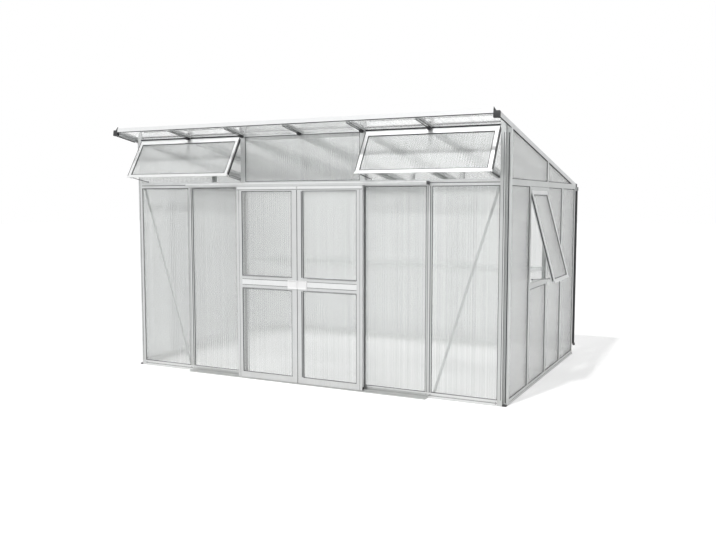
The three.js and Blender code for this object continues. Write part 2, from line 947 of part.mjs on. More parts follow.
// The pipe hangs under the gutter and ends in a shoe that turns away from the wall.
function makeDownpipe() {
  const straight = (radius) =>
    standing(ring(radius), pipeFoot + pipeBend, gutterBottom - seat).translate(...pipePlace);
  const lean = Math.atan2(pipeShoeReach, pipeBend);
  const length = Math.hypot(pipeShoeReach, pipeBend);
  const shoe = (radius, extra) =>
    standing(ring(radius), -length - extra, radius * Math.tan(lean / 2))
      .rotateX(-lean)
      .translate(pipeX, pipeY, pipeFoot + pipeBend);
  const outer = join(straight(pipeRadius), shoe(pipeRadius, 0));
  const made = cut(
    outer,
    standing(ring(pipeBore), pipeFoot + pipeBend, gutterBottom + overrun).translate(...pipePlace),
    shoe(pipeBore, overrun),
  );
  piece(rearWall, "downpipe", made, "black");
}

// A vent's frame: a ring of channel round its sheet, a lip over the rail below, and lugs for the stay.
// Drawn shut, x along the wall, y and z from the pivot.
function ventFrame(left, right, bottom, stayPlace) {
  const top = -beadRadius - ventGap;
  const front = 0;
  const back = front + ventDepth;
  const body = block([left, front, bottom], [right, back, top]);
  const hole = block(
    [left + ventFace, -overrun, bottom + ventFoot],
    [right - ventFace, back + overrun, top - ventFace],
  );
  const groove = block(
    [left + flange, front + flange, bottom + flange],
    [right - flange, back - flange, top - flange],
  );
  const lipFar = -beadInset - seat;
  const lip = across(
    [
      [lipFar - rainLip, bottom - rainLipDrop],
      [lipFar, bottom - rainLipDrop],
      [lipFar, bottom],
      [flange, bottom],
      [flange, bottom + rainLipRoot],
      [lipFar - rainLip, bottom + rainLipRoot],
    ],
    left,
    right,
  );
  const pinY = back + stayLugReach;
  const pinZ = bottom + stayLugHeight;
  const inner = stayWidth / 2 + ventGap;
  const lugs = [-1, 1].map((side) => {
    const near = stayPlace + side * inner;
    const far = near + side * stayLugThick;
    const half = stayWidth / 2;
    return block(
      [Math.min(near, far), back - flange / 2, pinZ - half],
      [Math.max(near, far), pinY + half, pinZ + half],
    );
  });
  const reach = inner + stayLugThick;
  const pin = roundAcross(stayPinRadius, stayPlace - reach, stayPlace + reach, pinY, pinZ);
  return join(cut(body, hole, groove), lip, ...lugs, pin);
}

function ventSheet(left, right, bottom) {
  const top = -beadRadius - ventGap;
  const edge = flange + ventGap;
  const front = flange + ventGap;
  return block([left + edge, front, bottom + edge], [right - edge, front + sheet, top - edge]);
}

// The places of a stay: its pin on the vent, turned open about the vent's pivot, and its peg.
function stayPlaces(bottom, open) {
  const pinY = ventDepth + stayLugReach;
  const pinZ = bottom + stayLugHeight;
  const openY = pinY * Math.cos(open) + pinZ * Math.sin(open);
  const openZ = pinZ * Math.cos(open) - pinY * Math.sin(open);
  const pegY = stayPegInset - beadInset;
  const slope = Math.atan2(openZ - pinZ, pegY - openY);
  const length = Math.hypot(pegY - openY, openZ - pinZ);
  return { pinY, pinZ, slope, length };
}

// A stay's bar, drawn level from its pin at the origin along y, with its row of holes.
function stayBar(length) {
  const half = stayWidth / 2;
  const thick = stayThick / 2;
  const end = length + stayTail;
  const eye = roundAcross(half, -half, half, 0, 0);
  const neckLength = half + stayPinRadius;
  const neck = block([-half, 0, -thick], [half, neckLength, thick]);
  const bar = block([-half, neckLength / 2, -thick], [half, end, thick]);
  const holes = [];
  for (let hole = 0; hole < stayHoles; hole += 1) {
    const y = length - hole * stayHoleSpacing;
    holes.push(roundStanding(pegRadius, -stayThick, stayThick, 0, y));
  }
  const bore = roundAcross(stayPinRadius + stayPinGap, -stayWidth, stayWidth, 0, 0);
  return cut(join(eye, neck, bar), bore, ...holes);
}

// A vent hangs in its own group, turned open about its pivot. Its stay turns in a group of its own.
function makeVent(wall, name, { left, right, stayPlace }, pivotHeight, bottomHeight, open) {
  const vent = new THREE.Group();
  vent.position.set(0, beadInset, pivotHeight);
  vent.rotation.x = -open;
  wall.add(vent);
  const bottom = bottomHeight - pivotHeight;
  piece(vent, `${name}_frame`, ventFrame(left, right, bottom, stayPlace), "white");
  piece(vent, `${name}_sheet`, ventSheet(left, right, bottom), "sheet");
  const { pinY, pinZ, slope, length } = stayPlaces(bottom, open);
  const stay = new THREE.Group();
  stay.position.set(stayPlace, pinY, pinZ);
  stay.rotation.x = open - slope;
  vent.add(stay);
  piece(stay, `${name}_stay`, stayBar(length), "dark");
}

function makeVents() {
  const flapBottom = beamTop + swing;
  const flaps = {
    left_flap: { left: -flapOuter, right: -flapInner, stayPlace: leftFlapStay },
    right_flap: { left: flapInner, right: flapOuter, stayPlace: rightFlapStay },
  };
  for (const [name, places] of Object.entries(flaps)) {
    makeVent(frontWall, name, places, flapPivotHeight, flapBottom, flapOpen);
  }
  const places = { left: windowLeft, right: windowRight, stayPlace: windowMiddle };
  const bottom = windowSillTop + swing;
  makeVent(rightWall, "side_window", places, windowPivotHeight, bottom, windowOpen);
}

// A door leaf, drawn for the right one: a ring of channel, a mid rail, an open channel at its foot
// and a hook that runs on the head track's ledge.
function doorFrame() {
  const near = -doorFront;
  const far = near + doorThick;
  const left = doorMeeting;
  const right = left + doorWidth;
  const midTop = doorMidRailBottom + doorMidRailHeight;
  const body = block([left, near, doorBottom], [right, far, doorTop]);
  const opening = (bottom, top) =>
    block([left + doorRail, near - overrun, bottom], [right - doorRail, far + overrun, top]);
  const lower = opening(doorBottom + doorRail, doorMidRailBottom);
  const upper = opening(midTop, doorTop - doorRail);
  const groove = block(
    [left + flange, near + flange, doorBottom + doorBottomWeb + flange],
    [right - flange, far - flange, doorTop - flange],
  );
  const footChannel = block(
    [left - overrun, near + flange, doorBottom - overrun],
    [right + overrun, far - flange, doorBottom + doorBottomWeb],
  );
  const bandSide = (doorMidRailHeight - doorMidBand) / 2;
  const reliefs = [doorMidRailBottom + doorMidLip, midTop - bandSide].map((bottom) =>
    block(
      [left + doorRail, near - overrun, bottom],
      [right - doorRail, near + doorMidRelief, bottom + bandSide - doorMidLip],
    ),
  );
  const hookTop = doorTop - flange;
  const hook = across(
    [
      [far - flange / 2, hookTop],
      [-hookTip, hookTop],
      [-hookTip, beamBottom + flange + seat],
      [-hookTip - flange, beamBottom + flange + seat],
      [-hookTip - flange, hookTop - flange],
      [far - flange / 2, hookTop - flange],
    ],
    left,
    right,
  );
  return join(cut(body, lower, upper, groove, footChannel, ...reliefs), hook);
}

function doorSheet() {
  const near = -doorFront + flange + doorSheetGap;
  const edge = flange + ventGap;
  return block(
    [doorMeeting + edge, near, doorBottom + doorBottomWeb + flange + ventGap],
    [doorMeeting + doorWidth - edge, near + sheet, doorTop - edge],
  );
}

// Half of the grip: a plate on the meeting stile, hollowed between its border and its end bar.
function doorGrip() {
  const bottom = gripMiddle - gripHeight / 2;
  const front = -doorFront - gripThick;
  const plate = block(
    [doorMeeting, front, bottom],
    [doorMeeting + gripWidth, -doorFront - seat, bottom + gripHeight],
  );
  const recess = block(
    [doorMeeting + gripBorder, front - overrun, bottom + gripBorder],
    [doorMeeting + gripWidth - gripBar, front + gripRecess, bottom + gripHeight - gripBorder],
  );
  return cut(plate, recess);
}

function makeDoors() {
  const parts = {
    frame: [doorFrame(), "rail"],
    sheet: [doorSheet(), "sheet"],
    grip: [doorGrip(), "white"],
  };
  for (const [name, [geometry, finish]] of Object.entries(parts)) {
    piece(frontWall, `right_door_${name}`, geometry, finish);
    piece(frontWall, `left_door_${name}`, geometry.clone(), finish).scale.x = -1;
  }
}

makeSills();
makeCornerPosts();
makeFrontPosts();
makeFrontBeams();
makeDoorTracks();
makeBraces();
makeFrontSheets();
makeSideFrames();
makeSideSheets();
makeGableSheets();
makeRearWall();
makeRoofBars();
makeRoofFrontProfile();
makeRoofSheets();
makeGutter();
makeDownpipe();
makeVents();
makeDoors();

export default greenhouse;
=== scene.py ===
# %% [markdown]
# # A lean to greenhouse, dressed in Blender
# The metal frame, the sheets, the doors and the vents come from the CAD model and stay where they are.
# This lesson gives each of them a finish and adds what is too small for the model: caps, seals,
# ribs, screws and strips. Everything is in metres, x to the right, y to the rear, z up.

import json
import math

import bmesh
import bpy
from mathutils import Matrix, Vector

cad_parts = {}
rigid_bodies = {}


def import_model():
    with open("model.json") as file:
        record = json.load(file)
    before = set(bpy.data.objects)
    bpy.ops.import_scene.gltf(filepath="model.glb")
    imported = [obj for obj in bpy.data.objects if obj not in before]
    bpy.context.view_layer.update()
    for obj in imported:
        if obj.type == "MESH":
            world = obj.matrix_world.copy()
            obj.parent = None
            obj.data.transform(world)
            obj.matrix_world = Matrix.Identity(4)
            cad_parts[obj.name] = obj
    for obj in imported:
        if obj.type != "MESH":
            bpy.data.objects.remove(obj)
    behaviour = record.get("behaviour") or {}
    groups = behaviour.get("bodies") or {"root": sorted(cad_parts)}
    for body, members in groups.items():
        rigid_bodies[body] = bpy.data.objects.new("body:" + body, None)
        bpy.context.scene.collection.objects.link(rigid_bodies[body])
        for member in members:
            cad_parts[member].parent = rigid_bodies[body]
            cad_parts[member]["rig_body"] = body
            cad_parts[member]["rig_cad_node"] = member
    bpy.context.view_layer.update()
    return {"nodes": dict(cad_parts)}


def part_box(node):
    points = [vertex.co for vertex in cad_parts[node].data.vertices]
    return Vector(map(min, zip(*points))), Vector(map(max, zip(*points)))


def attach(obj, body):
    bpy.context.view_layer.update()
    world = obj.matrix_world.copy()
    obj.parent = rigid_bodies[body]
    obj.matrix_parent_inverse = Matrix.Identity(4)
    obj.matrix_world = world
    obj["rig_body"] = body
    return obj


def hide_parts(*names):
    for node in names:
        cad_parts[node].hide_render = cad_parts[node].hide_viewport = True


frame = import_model()

# %% [markdown]
# ## The camera
# The photograph was taken from the front right, a little below the height of the door heads. The
# camera's place and turn were worked out from the frame's corners, so the same lens shows the same
# view. It looks a few degrees down and well to the left.

# %% Camera
CAMERA_PLACE = (3.680, -6.181, 1.659)
DEGREES_DOWN, DEGREES_LEFT = 4.954, 26.73
FOCAL_LENGTH_MM, FILM_WIDTH_MM = 39.92, 36
FARTHEST_SEEN = 200


def deselect():
    bpy.ops.object.select_all(action="DESELECT")


deselect()
bpy.ops.object.camera_add(
    location=CAMERA_PLACE,
    rotation=(math.radians(90 - DEGREES_DOWN), 0, math.radians(DEGREES_LEFT)),
)
camera = bpy.context.object
camera.name = "photo_camera"
camera.data.lens, camera.data.sensor_width = FOCAL_LENGTH_MM, FILM_WIDTH_MM
camera.data.clip_end = FARTHEST_SEEN
bpy.context.scene.camera = camera
print("camera", FOCAL_LENGTH_MM, "mm lens at", CAMERA_PLACE)

# %% [markdown]
# ## Helpers for finishes
# A finish is a small graph of shader nodes. It could be clicked together in the shader editor, but in
# code each node and each link is one short entry, which is easier to read and to change. An effect
# that several finishes share is a node group with named inputs and outputs, built once. A group gives
# out only colours, masks and heights, and each material keeps its own Principled shader.

# %% Nodes and links
def set_inputs(node, values):
    for name, value in dict(values).items():
        node.inputs[name].default_value = value


def add_node(tree, kind, values=(), **settings):
    """A new node with its settings and the values of its inputs."""
    node = tree.nodes.new("ShaderNode" + kind)
    for name, value in settings.items():
        setattr(node, name, value)
    set_inputs(node, values)
    return node


def wire(tree, *links):
    """Links, each given as a node, its output, another node and its input."""
    for giver, output, taker, entry in links:
        tree.links.new(giver.outputs[output], taker.inputs[entry])


# %% [markdown]
# A group is made empty, with its sockets, and then filled. Where it is placed, it gets its own
# values. Three of the groups here end in the same way: where their pattern is strong, the colour that
# they were given is darkened, so that tail is a helper too.

# %% Groups
PLAIN = (0.7, 0.7, 0.7, 1)


def new_group(name, inputs, outputs):
    """An empty node group with sockets: inputs are (name, kind, value), outputs are (name, kind)."""
    tree = bpy.data.node_groups.new(name, "ShaderNodeTree")
    for label, kind, value in inputs:
        socket = tree.interface.new_socket(name=label, in_out="INPUT", socket_type="NodeSocket" + kind)
        socket.default_value = value
    for label, kind in outputs:
        tree.interface.new_socket(name=label, in_out="OUTPUT", socket_type="NodeSocket" + kind)
    return tree, tree.nodes.new("NodeGroupInput"), tree.nodes.new("NodeGroupOutput")


def place_group(tree, group, **values):
    """A group placed in a material, with its own values."""
    node = tree.nodes.new("ShaderNodeGroup")
    node.node_tree = group
    set_inputs(node, values)
    return node


def darken(group, mask, output, given, made, shade):
    """Multiplies the group's colour by a shade where the mask is strong, as deep as Depth says."""
    depth = add_node(group, "Math", operation="MULTIPLY")
    tone = add_node(group, "Mix", {"B": shade}, data_type="RGBA", blend_type="MULTIPLY")
    wire(
        group,
        (mask, output, depth, 0),
        (given, "Depth", depth, 1),
        (depth, 0, tone, "Factor"),
        (given, "Color", tone, "A"),
        (tone, "Result", made, "Color"),
    )
    print("group", group.name, len(group.nodes), "nodes")


# %% [markdown]
# ## The studio
# The picture has a white background and a soft shadow that falls to the right and to the rear. A sun
# with a wide disc gives such a shadow. A large pale lamp at the right lights the side wall. The clear
# roof sheets don't mirror that lamp, which would show as a bright patch.

# %% Sun and fill light
SUN_DISC_DEGREES = 4
FILL_SIZE = (7, 5)


def lamp(kind, name, place, comes_from, strength):
    """A lamp at a place, whose light comes from a direction."""
    bpy.ops.object.light_add(type=kind, location=place)
    light = bpy.context.object
    light.name = name
    light.rotation_euler = Vector(comes_from).to_track_quat("Z", "Y").to_euler()
    light.data.energy = strength
    return light


bpy.context.scene.view_settings.view_transform = "Standard"
sun = lamp("SUN", "key_sun", place=(-2, -6, 9), comes_from=(-0.17, -0.68, 1), strength=1.7)
sun.data.angle = math.radians(SUN_DISC_DEGREES)
fill = lamp("AREA", "side_fill", place=(9, -1, 4), comes_from=(9, -2, 3), strength=120)
fill.data.shape = "RECTANGLE"
fill.data.size, fill.data.size_y = FILL_SIZE
fill.visible_glossy = False
print("lights", sun.name, fill.name)

# %% [markdown]
# A pale sky fills in the rest. It is white to the camera, in reflections and through the sheets, and
# plainer to everything else, so that pale metal doesn't burn out.

# %% Sky
SKY_FILL = 0.52
world = bpy.data.worlds.new("studio_sky")
bpy.context.scene.world = world
world.use_nodes = True
sky = world.node_tree
background = sky.nodes["Background"]
set_inputs(background, {"Color": (1, 1, 1, 1)})
rays = add_node(sky, "LightPath")
seen = add_node(sky, "Math", operation="ADD")
seen_too = add_node(sky, "Math", operation="ADD", use_clamp=True)
level = add_node(sky, "MapRange", {"To Min": SKY_FILL, "To Max": 1.0})
wire(
    sky,
    (rays, "Is Camera Ray", seen, 0),
    (rays, "Is Glossy Ray", seen, 1),
    (seen, 0, seen_too, 0),
    (rays, "Is Transmission Ray", seen_too, 1),
    (seen_too, 0, level, "Value"),
    (level, "Result", background, "Strength"),
)
print("sky at", SKY_FILL, "behind the scene's own light")

# %% [markdown]
# ## Die lines
# An aluminium extrusion is pushed through a steel die, which leaves fine lines along its length, and
# anodising leaves it faintly cloudy. A noise that is stretched along the height draws the lines as
# they run on the posts. On the rails they would run across, so a coarse cloud is laid over them and
# leaves only a faint mottle there. Object coordinates keep the pattern on the metal when a door slides.

# %% Group: die lines
STRETCH = 0.02
DIE_SHADE = (0.25, 0.25, 0.26, 1)
die_lines, given, made = new_group(
    "die_lines",
    [("Color", "Color", PLAIN), ("Depth", "Float", 0.06), ("Scale", "Float", 220.0)],
    [("Color", "Color"), ("Mask", "Float"), ("Height", "Float")],
)
place = add_node(die_lines, "TexCoord")
along = add_node(die_lines, "Mapping", {"Scale": (1.0, 1.0, STRETCH)})
lines = add_node(die_lines, "TexNoise", {"Detail": 3.0, "Roughness": 0.6})
cloud = add_node(die_lines, "TexNoise", {"Scale": 5.0, "Detail": 4.0, "Roughness": 0.55})
both = add_node(die_lines, "Math", operation="MULTIPLY")
spread = add_node(die_lines, "MapRange", {"From Min": 0.12, "From Max": 0.42})
wire(
    die_lines,
    (place, "Object", along, "Vector"),
    (along, "Vector", lines, "Vector"),
    (given, "Scale", lines, "Scale"),
    (place, "Object", cloud, "Vector"),
    (lines, "Fac", both, 0),
    (cloud, "Fac", both, 1),
    (both, 0, spread, "Value"),
    (spread, "Result", made, "Mask"),
    (lines, "Fac", made, "Height"),
)
darken(die_lines, spread, "Result", given, made, DIE_SHADE)

# %% [markdown]
# ## Garden dust
# Rain splashes soil on the foot of a greenhouse, so the lowest hand's breadth of the frame and the
# sheets is a touch duller than the rest. It could be painted on, but a mask that fades with height
# and breaks up with a noise does it for every piece at once.

# %% Group: garden dust
SOIL = (0.46, 0.44, 0.41, 1)
garden_dust, given, made = new_group(
    "garden_dust",
    [("Color", "Color", PLAIN), ("Amount", "Float", 0.35), ("Reach", "Float", 0.30)],
    [("Color", "Color")],
)
place = add_node(garden_dust, "TexCoord")
height = add_node(garden_dust, "SeparateXYZ")
low = add_node(garden_dust, "MapRange", {"To Min": 1.0, "To Max": 0.0})
specks = add_node(garden_dust, "TexNoise", {"Scale": 28.0, "Detail": 6.0, "Roughness": 0.7})
broken = add_node(garden_dust, "Math", operation="MULTIPLY")
amount = add_node(garden_dust, "Math", operation="MULTIPLY")
dusty = add_node(garden_dust, "Mix", {"B": SOIL}, data_type="RGBA")
wire(
    garden_dust,
    (place, "Object", height, 0),
    (height, "Z", low, "Value"),
    (given, "Reach", low, "From Max"),
    (place, "Object", specks, "Vector"),
    (low, "Result", broken, 0),
    (specks, "Fac", broken, 1),
    (broken, 0, amount, 0),
    (given, "Amount", amount, 1),
    (amount, 0, dusty, "Factor"),
    (given, "Color", dusty, "A"),
    (dusty, "Result", made, "Color"),
)
print("group", garden_dust.name, len(garden_dust.nodes), "nodes")

# %% [markdown]
# Every finish goes on in the same way: its surface group gives the colour, which gets its dust, one
# of its masks moves the roughness between two values, and its height raises the surface a little.

# %% From a group to the shader
def new_finish(name):
    """A new material, its tree and its shader."""
    material = bpy.data.materials.new(name)
    material.use_nodes = True
    return material, material.node_tree, material.node_tree.nodes["Principled BSDF"]


def weathered(tree, shader, surface, mask, height, roughness, bump, **dust_values):
    """Wires a surface group to the shader; bump is a strength and a distance in metres."""
    dust = place_group(tree, garden_dust, **dust_values)
    rough = add_node(tree, "MapRange", {"To Min": roughness[0], "To Max": roughness[1]})
    raised = add_node(tree, "Bump", {"Strength": bump[0], "Distance": bump[1]})
    wire(
        tree,
        (surface, "Color", dust, "Color"),
        (dust, "Color", shader, "Base Color"),
        (surface, mask, rough, "Value"),
        (rough, "Result", shader, "Roughness"),
        (surface, height, raised, "Height"),
        (raised, "Normal", shader, "Normal"),
    )


# %% [markdown]
# ## Metal finishes
# The frame is anodised aluminium in a few tones: grey posts, brighter rails, near white vent frames, darker
# stays. The side walls' frame is a darker copy of the post grey. That is painted shade for the walls that the
# side lamp lights more. The rear wall's frame wears the paler sill tone, which is painted light where it
# stands in shade. Anodised metal is satin, so it is only partly metallic: it shows the colour of the light
# more than a picture of the room. The die lines drive both the colour and the roughness.

# %% Metal finishes
LINE_DEPTH = 0.10
METAL_BUMP = (0.02, 0.001)


def metal(name, color, metallic=0.55, roughness=0.38):
    material, tree, shader = new_finish(name)
    set_inputs(shader, {"Metallic": metallic})
    drawn = place_group(tree, die_lines, Color=(*color, 1), Depth=LINE_DEPTH)
    weathered(tree, shader, drawn, "Mask", "Height", (roughness - 0.06, roughness + 0.10), METAL_BUMP)
    return material


frame_metal = metal("frame_aluminium", (0.62, 0.635, 0.63))
# Painted shade: a darker copy of the post grey for the side walls, which the side lamp lights more.
side_shade_metal = metal("side_painted_shade_aluminium", (0.54, 0.555, 0.55))
rail_metal = metal("rail_aluminium", (0.69, 0.70, 0.70))
sill_and_lifted_rear_metal = metal("sill_and_rear_lift_aluminium", (0.77, 0.78, 0.78))
band_metal = metal("band_aluminium", (0.86, 0.87, 0.87))
vent_metal = metal("vent_aluminium", (0.80, 0.805, 0.805), metallic=0.35)
roof_metal = metal("roof_bar_aluminium", (0.62, 0.63, 0.63))
stay_metal = metal("stay_aluminium", (0.20, 0.205, 0.21), roughness=0.45)
dark_metal = metal("dark_stay_aluminium", (0.09, 0.092, 0.095), metallic=0.3, roughness=0.5)
print("metals", [m.name for m in bpy.data.materials if m.name.endswith("aluminium")])

# %% [markdown]
# ## Moulded plastics and rubber
# The door grips are white plastic, the downpipe and the roof's end caps are black plastic, and the
# seals are black rubber. A mould leaves a very fine leather like grain, which a cell pattern gives,
# and small cloudy spots, which a noise gives.

# %% Group: moulded grain
GRAIN_SHADE = (0.5, 0.5, 0.5, 1)
moulded_grain, given, made = new_group(
    "moulded_grain",
    [("Color", "Color", PLAIN), ("Depth", "Float", 0.15), ("Scale", "Float", 900.0)],
    [("Color", "Color"), ("Mask", "Float"), ("Height", "Float")],
)
place = add_node(moulded_grain, "TexCoord")
pores = add_node(moulded_grain, "TexVoronoi", feature="F1")
haze = add_node(moulded_grain, "TexNoise", {"Scale": 14.0, "Detail": 5.0, "Roughness": 0.6})
wire(
    moulded_grain,
    (place, "Object", pores, "Vector"),
    (given, "Scale", pores, "Scale"),
    (place, "Object", haze, "Vector"),
    (haze, "Fac", made, "Mask"),
    (pores, "Distance", made, "Height"),
)
darken(moulded_grain, haze, "Fac", given, made, GRAIN_SHADE)

# %% [markdown]
# The three plastics differ in colour and gloss only. Rubber is the dullest: it hardly mirrors the
# sky, which keeps the thin seals dark from every side.

# %% Plastic finishes
PLASTIC_BUMP = (0.05, 0.0005)
NEAR_BLACK = (0.035, 0.036, 0.038)


def plastic(name, color, roughness, specular=0.5):
    material, tree, shader = new_finish(name)
    set_inputs(shader, {"Specular IOR Level": specular})
    grain = place_group(tree, moulded_grain, Color=(*color, 1))
    glossy, dull = roughness - 0.08, roughness + 0.12
    weathered(tree, shader, grain, "Mask", "Height", (glossy, dull), PLASTIC_BUMP, Amount=0.12)
    return material


white_plastic = plastic("white_plastic", (0.97, 0.97, 0.97), roughness=0.35)
black_plastic = plastic("black_plastic", NEAR_BLACK, roughness=0.5)
seal_rubber = plastic("seal_rubber", NEAR_BLACK, roughness=0.65, specular=0.2)
print("plastics", white_plastic.name, black_plastic.name, seal_rubber.name)

# %% [markdown]
# ## Twin wall sheet
# Each sheet is two thin skins with ribs between them every 11 mm. The ribs could be modelled, but
# there are thousands, and only their faint streaks show, so they come from the material. A zigzag
# across the sheet draws the flutes, with a slower streak over it, because no two ribs are quite
# alike. The rear skin's ribs are shifted by half a flute, so the two don't add up.

# %% Group: flutes
FLUTE = 0.011
RIB_SHADE = (0.6, 0.6, 0.6, 1)
flutes, given, made = new_group(
    "flutes",
    [
        ("Color", "Color", PLAIN),
        ("Across", "Float", 0.0),
        ("Facing", "Float", 0.0),
        ("Pitch", "Float", FLUTE),
        ("Depth", "Float", 0.30),
    ],
    [("Color", "Color"), ("Rib", "Float"), ("Streak", "Float")],
)
turns = add_node(flutes, "Math", operation="DIVIDE")
shifted = add_node(flutes, "Math", {1: 0.5}, operation="MULTIPLY_ADD")
zigzag = add_node(flutes, "Math", {1: 1.0}, operation="PINGPONG")
rib = add_node(flutes, "MapRange", interpolation_type="SMOOTHSTEP")
streak = add_node(flutes, "TexNoise", {"Scale": 26.0, "Detail": 2.0, "Roughness": 0.7}, noise_dimensions="1D")
streaks = add_node(flutes, "MapRange", {"From Min": 0.35, "From Max": 0.65})
mixed = add_node(flutes, "Mix", {"Factor": 0.5})
wire(
    flutes,
    (given, "Across", turns, 0),
    (given, "Pitch", turns, 1),
    (given, "Facing", shifted, 0),
    (turns, 0, shifted, 2),
    (shifted, 0, zigzag, 0),
    (zigzag, 0, rib, "Value"),
    (given, "Across", streak, "W"),
    (streak, "Fac", streaks, "Value"),
    (rib, "Result", mixed, "A"),
    (streaks, "Result", mixed, "B"),
    (rib, "Result", made, "Rib"),
    (streaks, "Result", made, "Streak"),
)
darken(flutes, mixed, "Result", given, made, RIB_SHADE)

# %% [markdown]
# What stands behind a sheet is blurred, and mostly its level lines show, because the ribs spread
# light sideways. A slightly rough transmission does that. The sheet lets much of the sun through, so
# it is partly clear to shadow rays. The roof's sheets are cleaner and clearer than the walls', and
# the flaps' a little greyer.

# %% Sheet finishes
SHEET_IOR = 1.35
COAT_ROUGHNESS = 0.03
SHEET_ROUGHNESS = (0.10, 0.16)
RIB_HEIGHT = 0.0018
SHADOW_LEFT = 0.37


def twin_wall(name, axis, faces, color=(0.957, 0.968, 0.963), clearness=0.80, coat=0.0, bump=0.8):
    """A sheet whose flutes stand side by side along the axis X or Y, and whose skins face another way."""
    material, tree, shader = new_finish(name)
    set_inputs(shader, {"Transmission Weight": clearness, "IOR": SHEET_IOR})
    set_inputs(shader, {"Coat Weight": coat, "Coat Roughness": COAT_ROUGHNESS})
    place = add_node(tree, "TexCoord")
    parts = add_node(tree, "SeparateXYZ")
    fluted = place_group(tree, flutes, Color=(*color, 1))
    skin = add_node(tree, "NewGeometry")
    facing = add_node(tree, "VectorMath", {1: faces}, operation="DOT_PRODUCT")
    rays = add_node(tree, "LightPath")
    clear = add_node(tree, "MapRange", {"To Min": 1.0, "To Max": SHADOW_LEFT})
    wire(
        tree,
        (place, "Object", parts, 0),
        (parts, axis, fluted, "Across"),
        (skin, "True Normal", facing, 0),
        (facing, "Value", fluted, "Facing"),
        (rays, "Is Shadow Ray", clear, "Value"),
        (clear, "Result", shader, "Alpha"),
    )
    relief = (bump, RIB_HEIGHT)
    weathered(tree, shader, fluted, "Streak", "Rib", SHEET_ROUGHNESS, relief, Amount=0.2, Reach=0.2)
    return material


OF_FRONT, OF_SIDE = (0, 1, 1), (1, 0, 0)
sheet_along_x = twin_wall("twin_wall_sheet_x", "X", OF_FRONT)
sheet_along_y = twin_wall("twin_wall_sheet_y", "Y", OF_SIDE)
vent_sheet = twin_wall("twin_wall_sheet_vent", "X", OF_FRONT, (0.895, 0.906, 0.901))
roof_sheet = twin_wall(
    "twin_wall_sheet_roof", "X", OF_FRONT, (0.975, 0.985, 0.982), clearness=0.90, coat=1.0, bump=0.04
)
print("sheets", sheet_along_x.name, sheet_along_y.name, vent_sheet.name, roof_sheet.name)

# %% [markdown]
# ## Dressing the CAD nodes
# The frame's solids already have the right section, so they stay, and each gets the finish that the
# photograph shows: by its own name first, and otherwise by the kind of part that its name tells. A
# CAD object is never moved, and only its material slots are filled.

# %% Finishes on the CAD nodes
BY_NAME = [
    (sheet_along_y, ("left_wall_sheet", "left_gable_sheet", "right_sheet_front", "right_sheet_window",
                     "right_sheet_rear", "right_gable_sheet", "side_window_sheet")),
    (vent_sheet, ("left_flap_sheet", "right_flap_sheet")),
    (vent_metal, ("left_flap_frame", "right_flap_frame")),
    (side_shade_metal, ("left_wall_frame", "right_wall_frame")),
    (rail_metal, ("front_mid_beam", "front_top_rail", "door_head_track", "side_window_frame",
                  "left_door_frame", "right_door_frame", "front_left_corner_post")),
    # The rear wall's frame takes the paler sill tone. This is painted light that lifts it where it stands in
    # shade.
    (sill_and_lifted_rear_metal, ("rear_wall_frame",)),
    (band_metal, ("roof_front_profile",)),
    (black_plastic, ("downpipe",)),
]
BY_KIND = [
    (roof_sheet, "roof_sheet"), (sheet_along_x, "sheet"), (white_plastic, "grip"),
    (dark_metal, "stay"), (roof_metal, "gable_rafter"), (sill_and_lifted_rear_metal, "_sill"),
]


def finish_of(node):
    """The finish of a CAD node."""
    for finish, names in BY_NAME:
        if node in names:
            return finish
    for finish, kind in BY_KIND:
        if kind in node:
            return finish
    return frame_metal


for name, node in frame["nodes"].items():
    node.data.materials.clear()
    node.data.materials.append(finish_of(name))
print(len(frame["nodes"]), "nodes dressed")

# %% [markdown]
# ## Helpers for shapes
# Operators act on everything selected, so the scene is deselected first, and in edit mode the wanted
# faces, edges or corners are picked by their place or their normal. The mouse could do this too, but
# a rule in code picks the same ones on every run.

# %% Picking
X, Y, Z = 0, 1, 2
TO_FRONT, TO_REAR, UP, DOWN = (Y, -1), (Y, 1), (Z, 1), (Z, -1)
STRAIGHT = 0.9


def select_only(piece):
    """Selects one object and makes it the active one."""
    deselect()
    piece.select_set(True)
    bpy.context.view_layer.objects.active = piece


def pick(piece, kind, wanted):
    """Goes into edit mode and selects the FACE, EDGE or VERT elements that are wanted."""
    select_only(piece)
    bpy.ops.object.mode_set(mode="EDIT")
    bpy.ops.mesh.select_mode(type=kind)
    bpy.ops.mesh.select_all(action="DESELECT")
    shape = bmesh.from_edit_mesh(piece.data)
    for element in {"FACE": shape.faces, "EDGE": shape.edges, "VERT": shape.verts}[kind]:
        if wanted(element):
            element.select_set(True)
    shape.select_flush_mode()
    bmesh.update_edit_mesh(piece.data)


def pick_all(piece, kind="VERT"):
    pick(piece, kind, lambda element: True)


def pick_side(piece, facing):
    """Picks the faces that look along an axis, the one way or the other."""
    axis, sign = facing
    pick(piece, "FACE", lambda f: f.normal[axis] * sign > STRAIGHT)


def leave():
    bpy.ops.object.mode_set(mode="OBJECT")


# %% [markdown]
# Each piece starts as a box or a cylinder at its own size and place. The place is applied at once,
# so that the object sits at the origin and its place is in its mesh. A box is given by its spans
# along x, y and z. Most spans lie beside a plane, or are the same on both sides of the house.

# %% Starting shapes
SIDES = (("left", -1), ("right", 1))


def across(sign, near, far, plane=0.0):
    """The span from near to far beyond a plane, on the side that the sign says."""
    return sorted((plane + sign * near, plane + sign * far))


def before(plane, near, far):
    """The span from near to far in front of a plane."""
    return across(-1, near, far, plane)


def about(centre, half):
    """A span round its centre."""
    return centre - half, centre + half


def named(piece, name):
    piece.name = piece.data.name = name
    return piece


def block(name, x, y, z):
    """A box over three spans."""
    low, high = (Vector(corner) for corner in zip(x, y, z))
    deselect()
    bpy.ops.mesh.primitive_cube_add(size=1, location=(low + high) / 2)
    piece = named(bpy.context.object, name)
    piece.scale = high - low
    bpy.ops.object.transform_apply(location=True, rotation=True, scale=True)
    return piece


